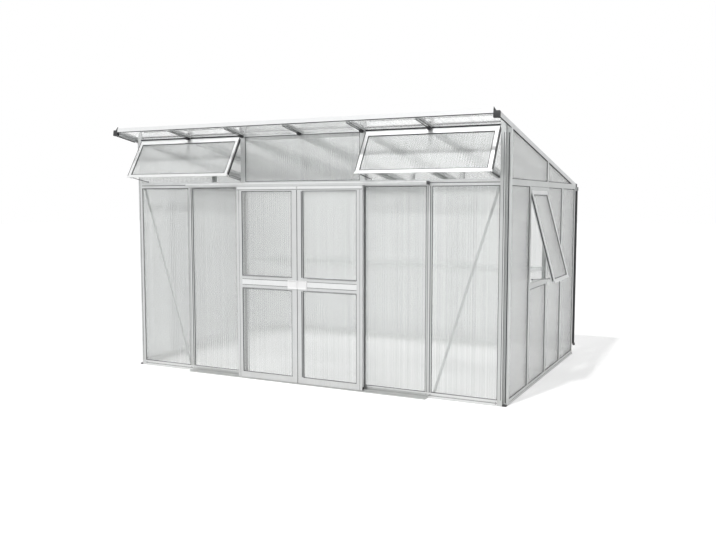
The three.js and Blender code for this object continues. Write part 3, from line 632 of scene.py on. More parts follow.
def rod(name, radius, length, place, corners, turn=(0, 0, 0)):
    """A cylinder that stands up, or lies after a turn."""
    deselect()
    bpy.ops.mesh.primitive_cylinder_add(
        vertices=corners, radius=radius, depth=length, location=place, rotation=turn
    )
    bpy.ops.object.transform_apply(location=True, rotation=True, scale=True)
    return named(bpy.context.object, name)


# %% [markdown]
# Nearly every small part is then shaped in one way: a face is inset and pushed in or out, which
# leaves a lip or a crown, and its edges are rounded. A long seal, rib or cover is such a block, here
# called a profile. An extrusion along a drawn section could make it too, but a block is quicker to
# size, and its ends are closed.

# %% Shaping
def press(facing, inset, lift):
    """Insets the picked face and lifts it the way it faces, or sinks it where lift is negative."""
    axis, sign = facing
    step = [0, 0, 0]
    step[axis] = sign * lift
    bpy.ops.mesh.inset(thickness=inset)
    bpy.ops.transform.translate(value=step)


def pressed(piece, facing, inset, lift):
    """The piece with one side pressed."""
    pick_side(piece, facing)
    press(facing, inset, lift)
    leave()
    return piece


def soften(piece, width, segments=2):
    """Rounds every sharp edge by a small bevel."""
    bevel = piece.modifiers.new("soft_edges", "BEVEL")
    bevel.width, bevel.segments, bevel.limit_method = width, segments, "ANGLE"
    select_only(piece)
    bpy.ops.object.modifier_apply(modifier=bevel.name)
    bpy.ops.object.shade_smooth_by_angle(angle=math.radians(35))
    return piece


def profile(name, x, y, z, facing, inset, lift, rounding=0.0005):
    """A long strip whose one side is pressed."""
    return soften(pressed(block(name, x, y, z), facing, inset, lift), rounding, 1)


# %% [markdown]
# What repeats is modelled once and copied, and each copy has a mesh of its own. Parts of one kind on
# one moving body are joined into one piece. A piece is drawn where it is easy, upright or flat, and
# turned into its place last. Without a window the rotate operator turns against the usual sense: a
# positive angle about x lowers the rear of a piece and brings its foot to the front.

# %% Copying, joining and turning
def copies(piece, offsets):
    """The piece and a copy of it at each offset, each copy with its own mesh."""
    made = [piece]
    for offset in offsets:
        select_only(piece)
        bpy.ops.object.duplicate()
        copy = bpy.context.object
        copy.location = offset
        bpy.ops.object.transform_apply(location=True, rotation=False, scale=False)
        made.append(copy)
    return made


def row(piece, places):
    """A piece that stands at the first of some places along x, and its copies at the others."""
    return copies(piece, [(x - places[0], 0, 0) for x in places[1:]])


def joined(name, parts):
    """Several parts of one kind on one body, joined into one piece."""
    deselect()
    for part in parts:
        part.select_set(True)
    bpy.context.view_layer.objects.active = parts[0]
    bpy.ops.object.join()
    return named(bpy.context.object, name)


def turned(piece, angle, axis, centre=(0, 0, 0), shift=(0, 0, 0)):
    """The whole piece turned about a line through a centre, and then shifted."""
    pick_all(piece)
    bpy.ops.transform.rotate(value=angle, orient_axis=axis, center_override=centre)
    bpy.ops.transform.translate(value=shift)
    leave()
    return piece


# %% [markdown]
# At the end a piece is handed over: it gets its material, it rides on a body, and it may stand for a CAD
# node, which is then hidden. Each look also carries the name of a material slot, which is not used here.

# %% Handing over
HOUSE = "greenhouse_frame"
RUBBER, BLACK = ("black_plastic", seal_rubber), ("black_plastic", black_plastic)
WHITE, SECTION = ("white_plastic", white_plastic), ("frame_section", frame_metal)
RAIL, BAND = ("bright_rail", rail_metal), ("bright_rail", band_metal)
STAY, DARK_STAY = ("stay_bar", stay_metal), ("stay_bar", dark_metal)
ROOF_BAR, VENT = ("roof_bar", roof_metal), ("vent_frame", vent_metal)


def hand_over(piece, body, look, *nodes):
    """Gives a finished piece its look, its body and the CAD nodes it stands for."""
    slot, finish = look
    piece.data.materials.clear()
    piece.data.materials.append(finish)
    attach(piece, body)
    if nodes:
        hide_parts(*nodes)
    size = Vector(piece.bound_box[6]) - Vector(piece.bound_box[0])
    print(piece.name, "on", body, [round(1000 * v) for v in size], "mm", len(piece.data.polygons), "faces")


# %% [markdown]
# Most strips come in pairs, one on each side of the house, and some pieces are several strips in one.
# Such a piece is told once, with x counted outwards from the middle, and is then made for each side.
# A mirror modifier would do it too, but left and right often ride on bodies of their own.

# %% Strips on both sides
OUT, IN = (X, 1), (X, -1)


def both_sides(name, body, look, *strips, lay=None):
    """A piece for each side from its strips: spans along x, y and z, the pressed side, its section."""
    for side, sign in SIDES:
        parts = []
        for x, y, z, (axis, way), *section in strips:
            facing = (axis, way * sign) if axis == X else (axis, way)
            parts.append(profile("strip", across(sign, *x), y, z, facing, *section))
        piece = named(joined("strips", parts) if len(parts) > 1 else parts[0], name.format(side))
        hand_over(lay(piece) if lay else piece, body.format(side), look)


# %% [markdown]
# ## The main places
# Frame lines stand 620 mm apart. The front plane lies 20 mm in front of the origin, and the roof
# falls to the rear by 442 mm in 2550 mm. What the CAD model has is read off it. A piece of the roof is
# drawn flat, y from the front plane and z from the roof's top, and laid onto the slope.

# %% Places
BAY = 0.620
FRONT, DEPTH = -0.020, 2.550
REAR = FRONT + DEPTH
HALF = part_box("front_right_corner_post")[1].x
ROOF_TOP, ROOF_FALL = 2.286, 0.4423
SLOPE = math.atan2(ROOF_FALL, DEPTH)
SILL_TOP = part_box("front_sill")[1].z
BEAM_LOW, BEAM_TOP = 1.786, 1.838
print("half width", round(HALF, 4), "slope", round(math.degrees(SLOPE), 2), "degrees")


def onto_roof(piece):
    return turned(piece, SLOPE, "X", shift=(0, FRONT, ROOF_TOP))


# %% [markdown]
# ## Gable bars
# A bar runs down each side of the roof, and a black cap closes its front end. In the CAD model both
# are one solid. The bar could be drawn again, but a copy of the solid has its exact section: the
# copy's loose triangles are merged, and it is cut off where the cap ends.

# %% Gable bars
ROOF_FRONT = -0.297 / math.cos(SLOPE)
CAP_LENGTH = 0.030
MERGE = 0.00001


def node_copy(name, node):
    """A merged copy of a CAD node's solid, in edit mode with all of it picked."""
    select_only(frame["nodes"][node])
    bpy.ops.object.duplicate()
    piece = named(bpy.context.object, name)
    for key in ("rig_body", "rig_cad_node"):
        del piece[key]
    pick_all(piece, "FACE")
    bpy.ops.mesh.remove_doubles(threshold=MERGE)
    return piece


down_the_roof = Vector((0, math.cos(SLOPE), -math.sin(SLOPE)))
cap_end = Vector((0, FRONT, ROOF_TOP)) + down_the_roof * (ROOF_FRONT + CAP_LENGTH)
for side in ("left", "right"):
    bar = node_copy(f"{side}_gable_bar", f"{side}_gable_rafter")
    bpy.ops.mesh.bisect(plane_co=cap_end, plane_no=down_the_roof, use_fill=True, clear_inner=True)
    leave()
    hand_over(bar, HOUSE, ROOF_BAR, f"{side}_gable_rafter")

# %% [markdown]
# The cap is modelled anew as a moulded box that is open to the rear. Its rear face is inset and
# pushed in, which leaves a wall all round, and a nib that tapers to its tip stands up from the inner
# corner of its front.

# %% Gable end caps
CAP_WIDTH, CAP_WALL, CAP_FRONT_WALL = 0.050, 0.003, 0.005
CAP_ROUNDING = 0.0012
NIB_TIP = (0.12, 0.4, 1)
for side, sign in SIDES:
    cap_y, cap_z = (ROOF_FRONT, ROOF_FRONT + CAP_LENGTH - 0.001), (-0.0495, 0.0029)
    cap = block(f"{side}_gable_cap", across(sign, HALF - CAP_WIDTH, HALF), cap_y, cap_z)
    soften(pressed(cap, TO_REAR, CAP_WALL, -CAP_LENGTH + CAP_FRONT_WALL), CAP_ROUNDING)
    nib_y, nib_z = (ROOF_FRONT, ROOF_FRONT + 0.0178), (0.001, 0.0318)
    nib = block("nib", across(sign, HALF - CAP_WIDTH, HALF - 0.028), nib_y, nib_z)
    pick_side(nib, UP)
    bpy.ops.transform.resize(value=NIB_TIP, center_override=(sign * (HALF - CAP_WIDTH), ROOF_FRONT, 0))
    leave()
    soften(nib, CAP_ROUNDING)
    hand_over(onto_roof(joined(f"{side}_gable_cap", [cap, nib])), HOUSE, BLACK)

# %% [markdown]
# ## Screws
# A screw is seen as a small dome with a hollow for the driver. A low cylinder is enough for it: its
# top is inset and lifted, then inset again and sunk. It is drawn pointing up.

# %% Screw
def screw(name, radius, height, place):
    """A low screw head that points up."""
    head = rod(name, radius, height, place, corners=12)
    pick_side(head, UP)
    press(UP, radius * 0.35, height * 0.25)
    press(UP, radius * 0.3, -height * 0.5)
    leave()
    return head


# %% [markdown]
# ## Cap strips on the roof
# Over every rafter a flat strip is screwed down, which presses the sheets onto it and covers their
# joint. The strip is a thin block whose top is sunk between two lips. One strip with its row of
# screws is modelled and copied to the other rafters.

# %% Roof cap strips
STRIP_FRONT, SHEET_END = ROOF_FRONT + 0.034, 2.575 / math.cos(SLOPE)
STRIP_HALF = 0.020
SCREWS, END_ROOM = 8, 0.05
strip = block("strip", about(0, STRIP_HALF), (STRIP_FRONT, SHEET_END), (-0.0033, -0.0006))
pressed(strip, UP, inset=0.004, lift=-0.0008)
head = screw("screw", radius=0.004, height=0.0010, place=(0, STRIP_FRONT + END_ROOM, -0.0009))
step = (SHEET_END - STRIP_FRONT - 2 * END_ROOM) / (SCREWS - 1)
heads = copies(head, [(0, step * n, 0) for n in range(1, SCREWS)])
strips = copies(joined("roof_strip", [strip, *heads]), [(BAY * n, 0, 0) for n in (-2, -1, 1, 2)])
for number, strip in enumerate(sorted(strips, key=lambda s: s.bound_box[0][0]), start=1):
    hand_over(onto_roof(named(strip, f"roof_cap_strip_{number}")), HOUSE, SECTION)

# %% [markdown]
# ## Rear closing strip
# Water and insects would run into the open flutes at the low end of the roof sheets, so a white
# U shaped strip closes them. It is a block round the sheets' ends whose inner face is pushed in.

# %% Closing strip
U_WALL, U_DEPTH = 0.0011, 0.0172
closing_x = (-HALF + 0.004, HALF - 0.004)
closing_y, closing_z = (SHEET_END - 0.018, SHEET_END + 0.0016), (-0.0146, -0.0021)
closing = block("roof_closing_strip", closing_x, closing_y, closing_z)
hand_over(onto_roof(pressed(closing, TO_FRONT, U_WALL, -U_DEPTH)), HOUSE, WHITE)

# %% [markdown]
# ## Door grips
# The two halves of the grip meet between the doors. Each half is a white plate with a recess for the
# fingers, and its corners are well rounded. In the plate the recess is made by insetting the front
# face and pushing it back, and it is narrowed from the outer end, where the grip has a bar.

# %% Door grips
RECESS_WALL, RECESS_DEPTH = 0.009, 0.0066
BAR_END, RECESS_TAPER = (0.895, 1, 1), (0.96, 1, 0.94)
SAME = 1e-6


def plate_corner(edge):
    """Whether an edge of the plate runs from front to rear, away from where the halves meet."""
    start, end = (v.co for v in edge.verts)
    straight_back = abs(start.x - end.x) < SAME and abs(start.z - end.z) < SAME
    return straight_back and abs(start.y - end.y) > 0.008 and abs(start.x) > 0.05


for side, sign in SIDES:
    low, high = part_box(f"{side}_door_grip")
    plate = block(f"{side}_grip", *zip(low, high))
    pick_side(plate, TO_FRONT)
    bpy.ops.mesh.inset(thickness=RECESS_WALL)
    bpy.ops.transform.resize(value=BAR_END, center_override=(low.x if sign > 0 else high.x, 0, 0))
    bpy.ops.transform.translate(value=(0, RECESS_DEPTH, 0))
    bpy.ops.transform.resize(value=RECESS_TAPER)
    leave()
    pick(plate, "EDGE", plate_corner)
    bpy.ops.mesh.bevel(offset=0.006, segments=4, affect="EDGES")
    leave()
    hand_over(soften(plate, 0.0014, 3), f"{side}_door", WHITE, f"{side}_door_grip")

# %% [markdown]
# ## The flaps' side seals
# A flap hangs on a round bead and shuts against rubber. In the photograph its side faces are nearly
# black, because a flat seal is glued along them. Each seal is drawn on the shut flap, where it is
# upright, and then turned open with it about the flap's own pivot.

# %% Flap seals
FLAPS = (("left", (-1.8375, -0.6485)), ("right", (0.6485, 1.8375)))
PIVOT = Vector((0, FRONT + 0.001, 2.2505))
OPEN = math.radians(31)
FLAP_LOW = 1.8415
RUBBER_THICK = 0.0016


def opened(piece):
    return turned(piece, OPEN, "X", PIVOT)


for side, edges in FLAPS:
    strips = []
    for edge, out in zip(edges, (-1, 1)):
        seal_y, seal_z = (PIVOT.y + 0.0045, PIVOT.y + 0.0205), (FLAP_LOW + 0.004, 2.2415)
        rubber = block("rubber", across(out, 0, RUBBER_THICK, edge), seal_y, seal_z)
        strips.append(pressed(rubber, (X, out), inset=0.003, lift=-0.0007))
    hand_over(opened(joined(f"{side}_flap_side_seals", strips)), f"{side}_flap", RUBBER)

# %% [markdown]
# ## Glazing seals of the walls
# A black rubber seal lies between every sheet and the metal round it, and in the photograph it
# draws a thin dark line round each panel. A seal is a thin rubber frame. Four strips could be laid
# round the sheet, but a block whose two broad faces are inset and bridged has whole corners.

# %% A ring, and the seals of the front and rear walls
POST = 0.025
CORNER = HALF - 0.076
LINES = [-CORNER - POST, -2 * BAY, -BAY, 0, BAY, 2 * BAY, CORNER + POST]
TOP_RAIL, REAR_RAIL = 2.2525, 1.772
SEAL, GAP = 0.0045, 0.0003


def open_middle(piece, axis, width):
    """Opens a block right through along an axis, so that a frame of that width is left."""
    pick(piece, "FACE", lambda f: abs(f.normal[axis]) > STRAIGHT)
    bpy.ops.mesh.inset(thickness=width)
    bpy.ops.mesh.bridge_edge_loops()
    leave()
    return piece


def ring(x, y, z, axis, width):
    """A rounded frame round an opening that looks along an axis."""
    return soften(open_middle(block("seal", x, y, z), axis, width), 0.0005, 1)


def wall_ring(first, last, bottom, top, plane=FRONT, inward=1):
    """A seal between two of the frame lines, just inside the wall's outer plane."""
    x, z = (LINES[first] + POST, LINES[last] - POST), (bottom + GAP, top - GAP)
    return ring(x, across(inward, 0.0008, 0.0034, plane), z, Y, SEAL)


seals = [wall_ring(bay, bay + 1, SILL_TOP, BEAM_LOW) for bay in (0, 1, 4, 5)]
seals.append(wall_ring(2, 4, BEAM_TOP, TOP_RAIL))
hand_over(joined("front_glazing_seals", seals), HOUSE, RUBBER)
seals = [wall_ring(bay, bay + 1, SILL_TOP, REAR_RAIL, REAR, -1) for bay in range(6)]
hand_over(joined("rear_glazing_seals", seals), HOUSE, RUBBER)

# %% [markdown]
# The side walls are glazed in the same way. Over their beam the opening is cut by the slope of the
# roof, so the top edge of the seal's block is lowered at the rear before the block is opened. The
# left wall's seals are drawn on the right and moved over to the other side. That turns a mesh inside
# out, so its faces are turned out again.

# %% Seals of the side walls
FALL = math.tan(SLOPE)
SIDE_LINES = [FRONT + 0.051, *(FRONT + 0.035 + BAY * n for n in (1, 2, 3)), REAR - 0.051]
SIDE_BAYS = [(start + POST, end - POST) for start, end in zip(SIDE_LINES, SIDE_LINES[1:])]
GABLE_PANES = [(SIDE_LINES[0] + POST, SIDE_LINES[2] - POST), (SIDE_LINES[2] + POST, FRONT + 2.28)]
GABLE_LOW = ROOF_TOP - 0.040 / math.cos(SLOPE)
UNDER_WINDOW = 0.938 - 0.048
TIP = 0.001


def side_ring(y, bottom, top, drop=0.0):
    """A seal in the right wall, whose top edge is lower at the rear by the drop."""
    seal = block("seal", across(-1, 0.0008, 0.0034, HALF), y, (bottom, top))
    if drop:
        pick(seal, "VERT", lambda v: v.co.z > top - TIP and v.co.y > y[1] - TIP)
        bpy.ops.transform.translate(value=(0, 0, -drop))
        leave()
    return open_middle(seal, X, SEAL)


def side_seals(name, tops):
    """The seals of a side wall: a bay goes up to its own top, and the gable has two panes."""
    seals = [side_ring(bay, SILL_TOP + GAP, top - GAP) for bay, top in zip(SIDE_BAYS, tops)]
    for front, rear in GABLE_PANES:
        top = GABLE_LOW - (front - FRONT) * FALL - 0.0006
        seals.append(side_ring((front, rear), BEAM_TOP + GAP, top, (rear - front) * FALL))
    return joined(name, seals)


def flipped(piece):
    """The piece moved to the other side of the house, its faces turned out again."""
    pick_all(piece)
    bpy.ops.transform.resize(value=(-1, 1, 1), center_override=(0, 0, 0))
    bpy.ops.mesh.select_mode(type="FACE")
    bpy.ops.mesh.select_all(action="SELECT")
    bpy.ops.mesh.normals_make_consistent(inside=False)
    leave()
    return piece


right_tops = [BEAM_LOW, UNDER_WINDOW, BEAM_LOW, BEAM_LOW]
hand_over(side_seals("right_glazing_seals", right_tops), HOUSE, RUBBER)
hand_over(flipped(side_seals("left_glazing_seals", [BEAM_LOW] * 4)), HOUSE, RUBBER)

# %% [markdown]
# ## Seals of the doors
# Each leaf has two panes, over and under its mid rail, with the same seal round them. They are as
# wide as the leaf between its stiles, and they reach back to the sheet.

# %% Seals of the door leaves
DOOR_FACE = FRONT - 0.065
STILE = 0.055
PANES = ((0.067, 0.855), (0.972, 1.751))
for side, sign in SIDES:
    sheet_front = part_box(f"{side}_door_sheet")[0].y
    low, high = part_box(f"{side}_door_frame")
    pane_x, pane_y = (low.x + STILE, high.x - STILE), (DOOR_FACE + 0.0007, sheet_front - 0.0001)
    seals = [ring(pane_x, pane_y, pane_z, Y, 0.004) for pane_z in PANES]
    hand_over(joined(f"{side}_door_seals", seals), f"{side}_door", RUBBER)

# %% [markdown]
# ## Seals of the flaps
# A flap's frame has broad sides and top and a narrow foot, and the seal lies just behind its face.
# It is drawn in the shut flap, like the side seals, and opened with it.

# %% Glazing seals of the flaps
VENT_FACE, VENT_FOOT, VENT_TOP = 0.038, 0.018, -0.0045
for side, (left, right) in FLAPS:
    seal_x, seal_y = (left + VENT_FACE, right - VENT_FACE), (PIVOT.y + 0.0007, PIVOT.y + 0.0034)
    seal_z = (FLAP_LOW + VENT_FOOT, PIVOT.z + VENT_TOP - VENT_FACE)
    seal = named(ring(seal_x, seal_y, seal_z, Y, 0.0055), f"{side}_flap_glazing_seal")
    hand_over(opened(seal), f"{side}_flap", RUBBER)

# %% [markdown]
# Over each flap a rubber apron is clipped to the rail, so that rain runs off the roof's edge and over the
# hinge. Its black also stands in for the shade in the hinge gap, so it is partly painted shade and gives the
# darkest line under the overhang. Its middle is a little hollow.

# %% Hinge aprons
for side, flap in FLAPS:
    # The black apron is partly painted shade: it darkens the hinge gap under the overhang.
    apron_y, apron_z = before(FRONT, 0.0004, 0.0040), (2.2535, 2.2665)
    apron = profile(f"{side}_hinge_apron_gap_shade", flap, apron_y, apron_z, TO_FRONT, inset=0.0025, lift=-0.0012)
    hand_over(apron, HOUSE, RUBBER)

# %% [markdown]
# ## The side window's seals
# The window in the right wall hangs like the flaps, about a line along the wall. Its pieces are
# drawn shut as well, facing right, and turned about that line. It has a seal round its sheet, and
# black seals on its front and rear faces.

# %% Side window's seals
WINDOW_PIVOT = Vector((HALF - 0.001, 0, 1.758))
WINDOW_OPEN = math.radians(15.1)
WINDOW_FRONT, WINDOW_REAR = FRONT + 0.684, FRONT + 1.246
WINDOW_LOW = 0.9415


def swung(piece):
    return turned(piece, WINDOW_OPEN, "Y", WINDOW_PIVOT)


pane_x = across(-1, 0.0007, 0.0034, WINDOW_PIVOT.x)
pane_y = (WINDOW_FRONT + VENT_FACE, WINDOW_REAR - VENT_FACE)
pane_z = (WINDOW_LOW + VENT_FOOT, WINDOW_PIVOT.z + VENT_TOP - VENT_FACE)
seals = [ring(pane_x, pane_y, pane_z, X, 0.005)]
edge_x, edge_z = across(-1, 0.0070, 0.0160, WINDOW_PIVOT.x), (WINDOW_LOW + 0.004, WINDOW_PIVOT.z - 0.0090)
for plane, out in ((WINDOW_FRONT, -1), (WINDOW_REAR, 1)):
    edge_y = across(out, 0, RUBBER_THICK, plane)
    seals.append(profile("edge", edge_x, edge_y, edge_z, (Y, out), inset=0.002, lift=-0.0007))
hand_over(swung(joined("side_window_seals", seals)), "side_window", RUBBER)

# %% [markdown]
# The knob inside, by which the window is pulled shut, is guessed. It is a short rod that tapers to
# the frame and is hollowed at its end, as a moulded knob is to keep its wall thin.

# %% Side window's knob
LYING = (0, math.pi / 2, 0)
KNOB_NECK = (1, 0.6, 0.6)
knob_place = (WINDOW_PIVOT.x - 0.0335, WINDOW_FRONT + 0.10, WINDOW_LOW + 0.0095)
knob = rod("side_window_knob", 0.0065, 0.0160, knob_place, corners=20, turn=LYING)
pick_side(knob, (X, 1))
bpy.ops.transform.resize(value=KNOB_NECK)
leave()
soften(pressed(knob, (X, -1), inset=0.0020, lift=-0.0008), 0.0008)
hand_over(swung(knob), "side_window", BLACK)

# %% [markdown]
# ## Cover ribs on the posts
# On each front post a narrow bright rib is pressed over a black gasket, which shows as two dark
# grooves. Two strips on top of each other give real grooves, where a painted line would stay flat
# under a low light. The rib's face is pushed out to a low crown.

# %% Post ribs and gaskets
POST_LINE, RIB_Z = 2 * BAY, (SILL_TOP + 0.0008, BEAM_LOW - 0.0008)
gasket = about(POST_LINE, 0.0135), before(FRONT, 0.0001, 0.0008), RIB_Z, TO_FRONT, 0.0015, -0.0003, 0.0002
both_sides("front_{}_post_rib_gasket", HOUSE, RUBBER, gasket)
rib = about(POST_LINE, 0.0085), before(FRONT, 0.0009, 0.0042), RIB_Z, TO_FRONT, 0.0035, 0.0008
both_sides("front_{}_post_rib", HOUSE, RAIL, rib)

# %% [markdown]
# ## Corner posts
# The corner posts have a notch outside. A black gasket lies at the bottom of the notch and another
# along its edge, and a plug closes the foot, so that no cut edge of metal shows.

# %% Corner post gaskets and foot plugs
GASKET_FOOT, GABLE_FOOT, EAVES = 0.024, 2.20, 1.76
NOTCH = 0.0345
for end, plane, inward, top in (("front", FRONT, 1, GABLE_FOOT), ("rear", REAR, -1, EAVES)):
    inner_y, edge_y = across(inward, 0.0325, 0.0348, plane), across(inward, 0.0010, 0.0060, plane)
    inner = (HALF - 0.021, HALF - 0.013), inner_y, (GASKET_FOOT, top), (Y, -inward), 0.003, 0.0006
    edge = (HALF - 0.0349, HALF - 0.0335), edge_y, (GASKET_FOOT, top), OUT, 0.001, 0.0003, 0.0002
    both_sides(f"{end}_{{}}_corner_gaskets", HOUSE, RUBBER, inner, edge)
    plug_x, plug_y = (HALF - NOTCH, HALF - 0.0006), across(inward, 0.0010, NOTCH, plane)
    plug = plug_x, plug_y, (0.0005, 0.012), UP, 0.004, -0.003, 0.0015
    both_sides(f"{end}_{{}}_foot_plug", HOUSE, BLACK, plug)

# %% [markdown]
# ## Ribs on the mid beam
# The beam under the flaps is not flat in the photograph: a bright rib runs along it with a thin
# dark line under it. Both stay below the flap's rain lip, which hangs in front of the beam.

# %% Mid beam ribs
RIB_END = CORNER - 0.001
rib = (BAY, RIB_END), before(FRONT, 0.0001, 0.0040), (1.8135, 1.8255), TO_FRONT, 0.003, 0.0008
both_sides("{}_beam_rib", HOUSE, RAIL, rib)
line = (BAY, RIB_END), before(FRONT, 0.0001, 0.0012), (1.8085, 1.8132), TO_FRONT, 0.001, -0.0004, 0.0002
both_sides("{}_beam_gasket", HOUSE, RUBBER, line)

# %% [markdown]
# ## The hood's end caps
# The hood over the doors is cut from a long extrusion, and a dark plate closes each cut end. Its
# middle is sunk, so that a bead is left all round. A bright rib runs along the hood's face.

# %% Hood end caps and rib
HOOD_END, HOOD_TOP = 2 * BAY, 1.8235
cap_x, cap_y = (HOOD_END + 0.0003, HOOD_END + 0.0028), before(FRONT, 0.0048, 0.0715)
both_sides("{}_hood_cap", HOUSE, STAY, (cap_x, cap_y, (1.7965, HOOD_TOP), OUT, 0.004, -0.0010, 0.0008))
hood_x, hood_y = about(0, HOOD_END - 0.002), before(FRONT, 0.0721, 0.0746)
hood_rib = profile("hood_rib", hood_x, hood_y, (1.8140, HOOD_TOP), TO_FRONT, 0.002, 0.0006)
hand_over(hood_rib, HOUSE, BAND)

# %% [markdown]
# ## Brushes of the doors
# A brush on each door post fills the gap behind the sliding leaf, and it is a dark line along the leaf's
# outer edge. It is a real black brush whose dark also stands in for the shade in that gap, so it is partly
# painted shade. Its hairs are too fine to see, so a slim strip on a broader base stands for them.

# %% Door brushes
BRUSH_Z = (0.052, 1.783)
# Black brush strips, partly painted shade for the gap behind the sliding leaf.
base = (0.6245, 0.6335), before(FRONT, 0.0002, 0.0060), BRUSH_Z, TO_FRONT, 0.002, -0.0015
hair = (0.6268, 0.6312), before(FRONT, 0.0058, 0.0300), BRUSH_Z, TO_FRONT, 0.0014, 0.0015
both_sides("{}_door_brush", HOUSE, RUBBER, base, hair)

# %% [markdown]
# ## The meeting seal and the glides
# A soft seal lies between the leaves, on the left one, and is cut where the grip is. A glide at each
# outer foot keeps the leaf off the track. It is a small plate on the leaf's edge, hollow in its middle.

# %% Meeting seal and glides
MEETING_SPANS = ((0.014, 0.8700), (0.9480, 1.7600))
seal_x, seal_y = across(-1, 0.0012, 0.0040), before(DOOR_FACE, 0.0002, 0.0018)
seals = [profile("seal", seal_x, seal_y, z, TO_FRONT, 0.0008, 0.0005, 0.0003) for z in MEETING_SPANS]
hand_over(joined("left_meeting_seal", seals), "left_door", RUBBER)
glide_y, glide_z = across(1, 0.0015, 0.0305, DOOR_FACE), (0.0135, 0.0400)
glide = (0.6522, 0.6552), glide_y, glide_z, OUT, 0.005, -0.0012, 0.0010
both_sides("{}_door_glide", "{}_door", BLACK, glide)

# %% [markdown]
# ## Bands of the door leaves
# A leaf's rails are not flat: a bright band runs along the middle of the mid rail, and another along
# the head rail. Both are crowned, so that they catch the light along one edge.

# %% Door bands
BAND_REACH = (0.1000, 0.5965)
band = BAND_REACH, before(DOOR_FACE, 0.0002, 0.0022), (0.8900, 0.9370), TO_FRONT, 0.004, 0.0008
head = (0.0060, 0.6480), before(DOOR_FACE, 0.0002, 0.0018), (1.7690, 1.7920), TO_FRONT, 0.004, 0.0006
both_sides("{}_door_bands", "{}_door", BAND, band, head)

# %% [markdown]
# Thin dark lines run beside the bands, under the head band and along the outer stile. The lines along the
# bands and under the head band are painted shade along the bands' edges. The right leaf's meeting stile has a
# wider dark strip beside its sheet. It is a painted shadow line of the profile, and the darkest line between
# the doors. A line is a very thin strip whose middle is sunk, and it serves on other faces as well.

# %% Door lines
# Painted shade: the rail lines along the mid rail's band and the line under the head band. The right stile's
# wide strips are a painted shadow line.
RAIL_SHADE_LINES = (0.8582, 0.8862, 0.9386, 0.9666)
LEAF_LINES = [(BAND_REACH, (z, z + 0.0024)) for z in RAIL_SHADE_LINES]
LEAF_LINES += [((0.0045, 0.6500), (1.7615, 1.7645)), ((0.6260, 0.6282), (0.0140, 1.7600))]
STILE_SHADOW_STRIPS = [((0.0420, 0.0500), z) for z in ((0.0700, 0.8520), (0.9750, 1.7480))]


def dark_line(name, x, z, face=FRONT, proud=0.0008, inset=0.0007, lift=-0.0002):
    """A thin strip on a face that looks to the front."""
    return profile(name, x, before(face, 0.0001, proud), z, TO_FRONT, inset, lift, 0.0001)


for side, sign in SIDES:
    places = LEAF_LINES + (STILE_SHADOW_STRIPS if side == "right" else [])
    lines = [dark_line("line", across(sign, *reach), z, DOOR_FACE) for reach, z in places]
    hand_over(joined(f"{side}_door_lines", lines), f"{side}_door", RUBBER)

# %% [markdown]
# ## Edges of the flaps
# A flap's frame carries a black strip along both ends of its front, a narrower one at the left, and
# a thin line along its foot.

# %% Flap edges
for side, (left, right) in FLAPS:
    edge_z, foot_z = (FLAP_LOW + 0.004, PIVOT.z - 0.006), (FLAP_LOW + 0.0004, FLAP_LOW + 0.0024)
    ends = [(left + 0.0002, left + 0.0060), (right - 0.0070, right - 0.0002)]
    lines = [dark_line("edge", x, edge_z, PIVOT.y, proud=0.0009, inset=0.001) for x in ends]
    foot_x = (left + 0.0065, right - 0.0075)
    lines.append(dark_line("edge", foot_x, foot_z, PIVOT.y, proud=0.0009, inset=0.0006))
    hand_over(opened(joined(f"{side}_flap_edges", lines)), f"{side}_flap", RUBBER)

# %% [markdown]
# On the front of each corner post a dark groove runs up beside the notch, from over the sill to the
# foot of the gable bar.

# %% Corner lines
for side, sign in SIDES:
    groove_x, groove_z = across(sign, HALF - 0.0500, HALF - 0.0460), (0.0500, GABLE_FOOT)
    groove = dark_line(f"{side}_corner_line", groove_x, groove_z, inset=0.0012, lift=-0.0003)
    hand_over(groove, HOUSE, RUBBER)

# %% [markdown]
# ## The front profile's seal and the gable bars' inner strips
# A thin black seal hangs under the roof's front profile, where the sheets' ends are closed. The inner face of
# each gable bar carries a flat black strip, which is painted shade for that face, and it shows dark at the
# left.

# %% Front profile seal and inner strips
seal_x, seal_y = about(0, HALF - 0.052), (ROOF_FRONT + 0.0008, ROOF_FRONT + 0.0060)
edge_seal = profile("front_profile_seal", seal_x, seal_y, (-0.0215, -0.0169), DOWN, 0.0015, 0.0006)
hand_over(onto_roof(edge_seal), HOUSE, RUBBER)
# Painted shade: a flat black strip on each gable bar's inner face, which lies in shade.
inner_x, inner_y = (HALF - 0.0045, HALF - 0.0031), (ROOF_FRONT + 0.034, -0.004)
inner = inner_x, inner_y, (-0.0385, -0.0175), IN, 0.002, 0.0004
both_sides("{}_gable_inner_strip", HOUSE, RUBBER, inner, lay=onto_roof)

# %% [markdown]
# ## Ribs on the sills
# The sills show bright ribs with a dark groove between them. On the front sill the floor track of the
# doors covers the lower part, so only the upper rib runs through behind it.

# %% Front sill ribs
UPPER_RIB, LOWER_RIB, GROOVE = (0.0345, 0.0440), (0.0040, 0.0130), (0.0215, 0.0245)


def sill_rib(x, z):
    return profile("rib", x, before(FRONT, 0.0001, 0.0028), z, TO_FRONT, 0.002, 0.0006)


outer_spans = [across(sign, 2 * BAY + 0.002, RIB_END) for side, sign in SIDES]
ribs = [sill_rib(about(0, RIB_END), UPPER_RIB)]
ribs += [sill_rib(x, LOWER_RIB) for x in outer_spans]
lines = [dark_line("line", x, GROOVE, proud=0.0010, inset=0.0008, lift=-0.0003) for x in outer_spans]
hand_over(joined("front_sill_ribs", ribs), HOUSE, BAND)
hand_over(joined("front_sill_lines", lines), HOUSE, RUBBER)

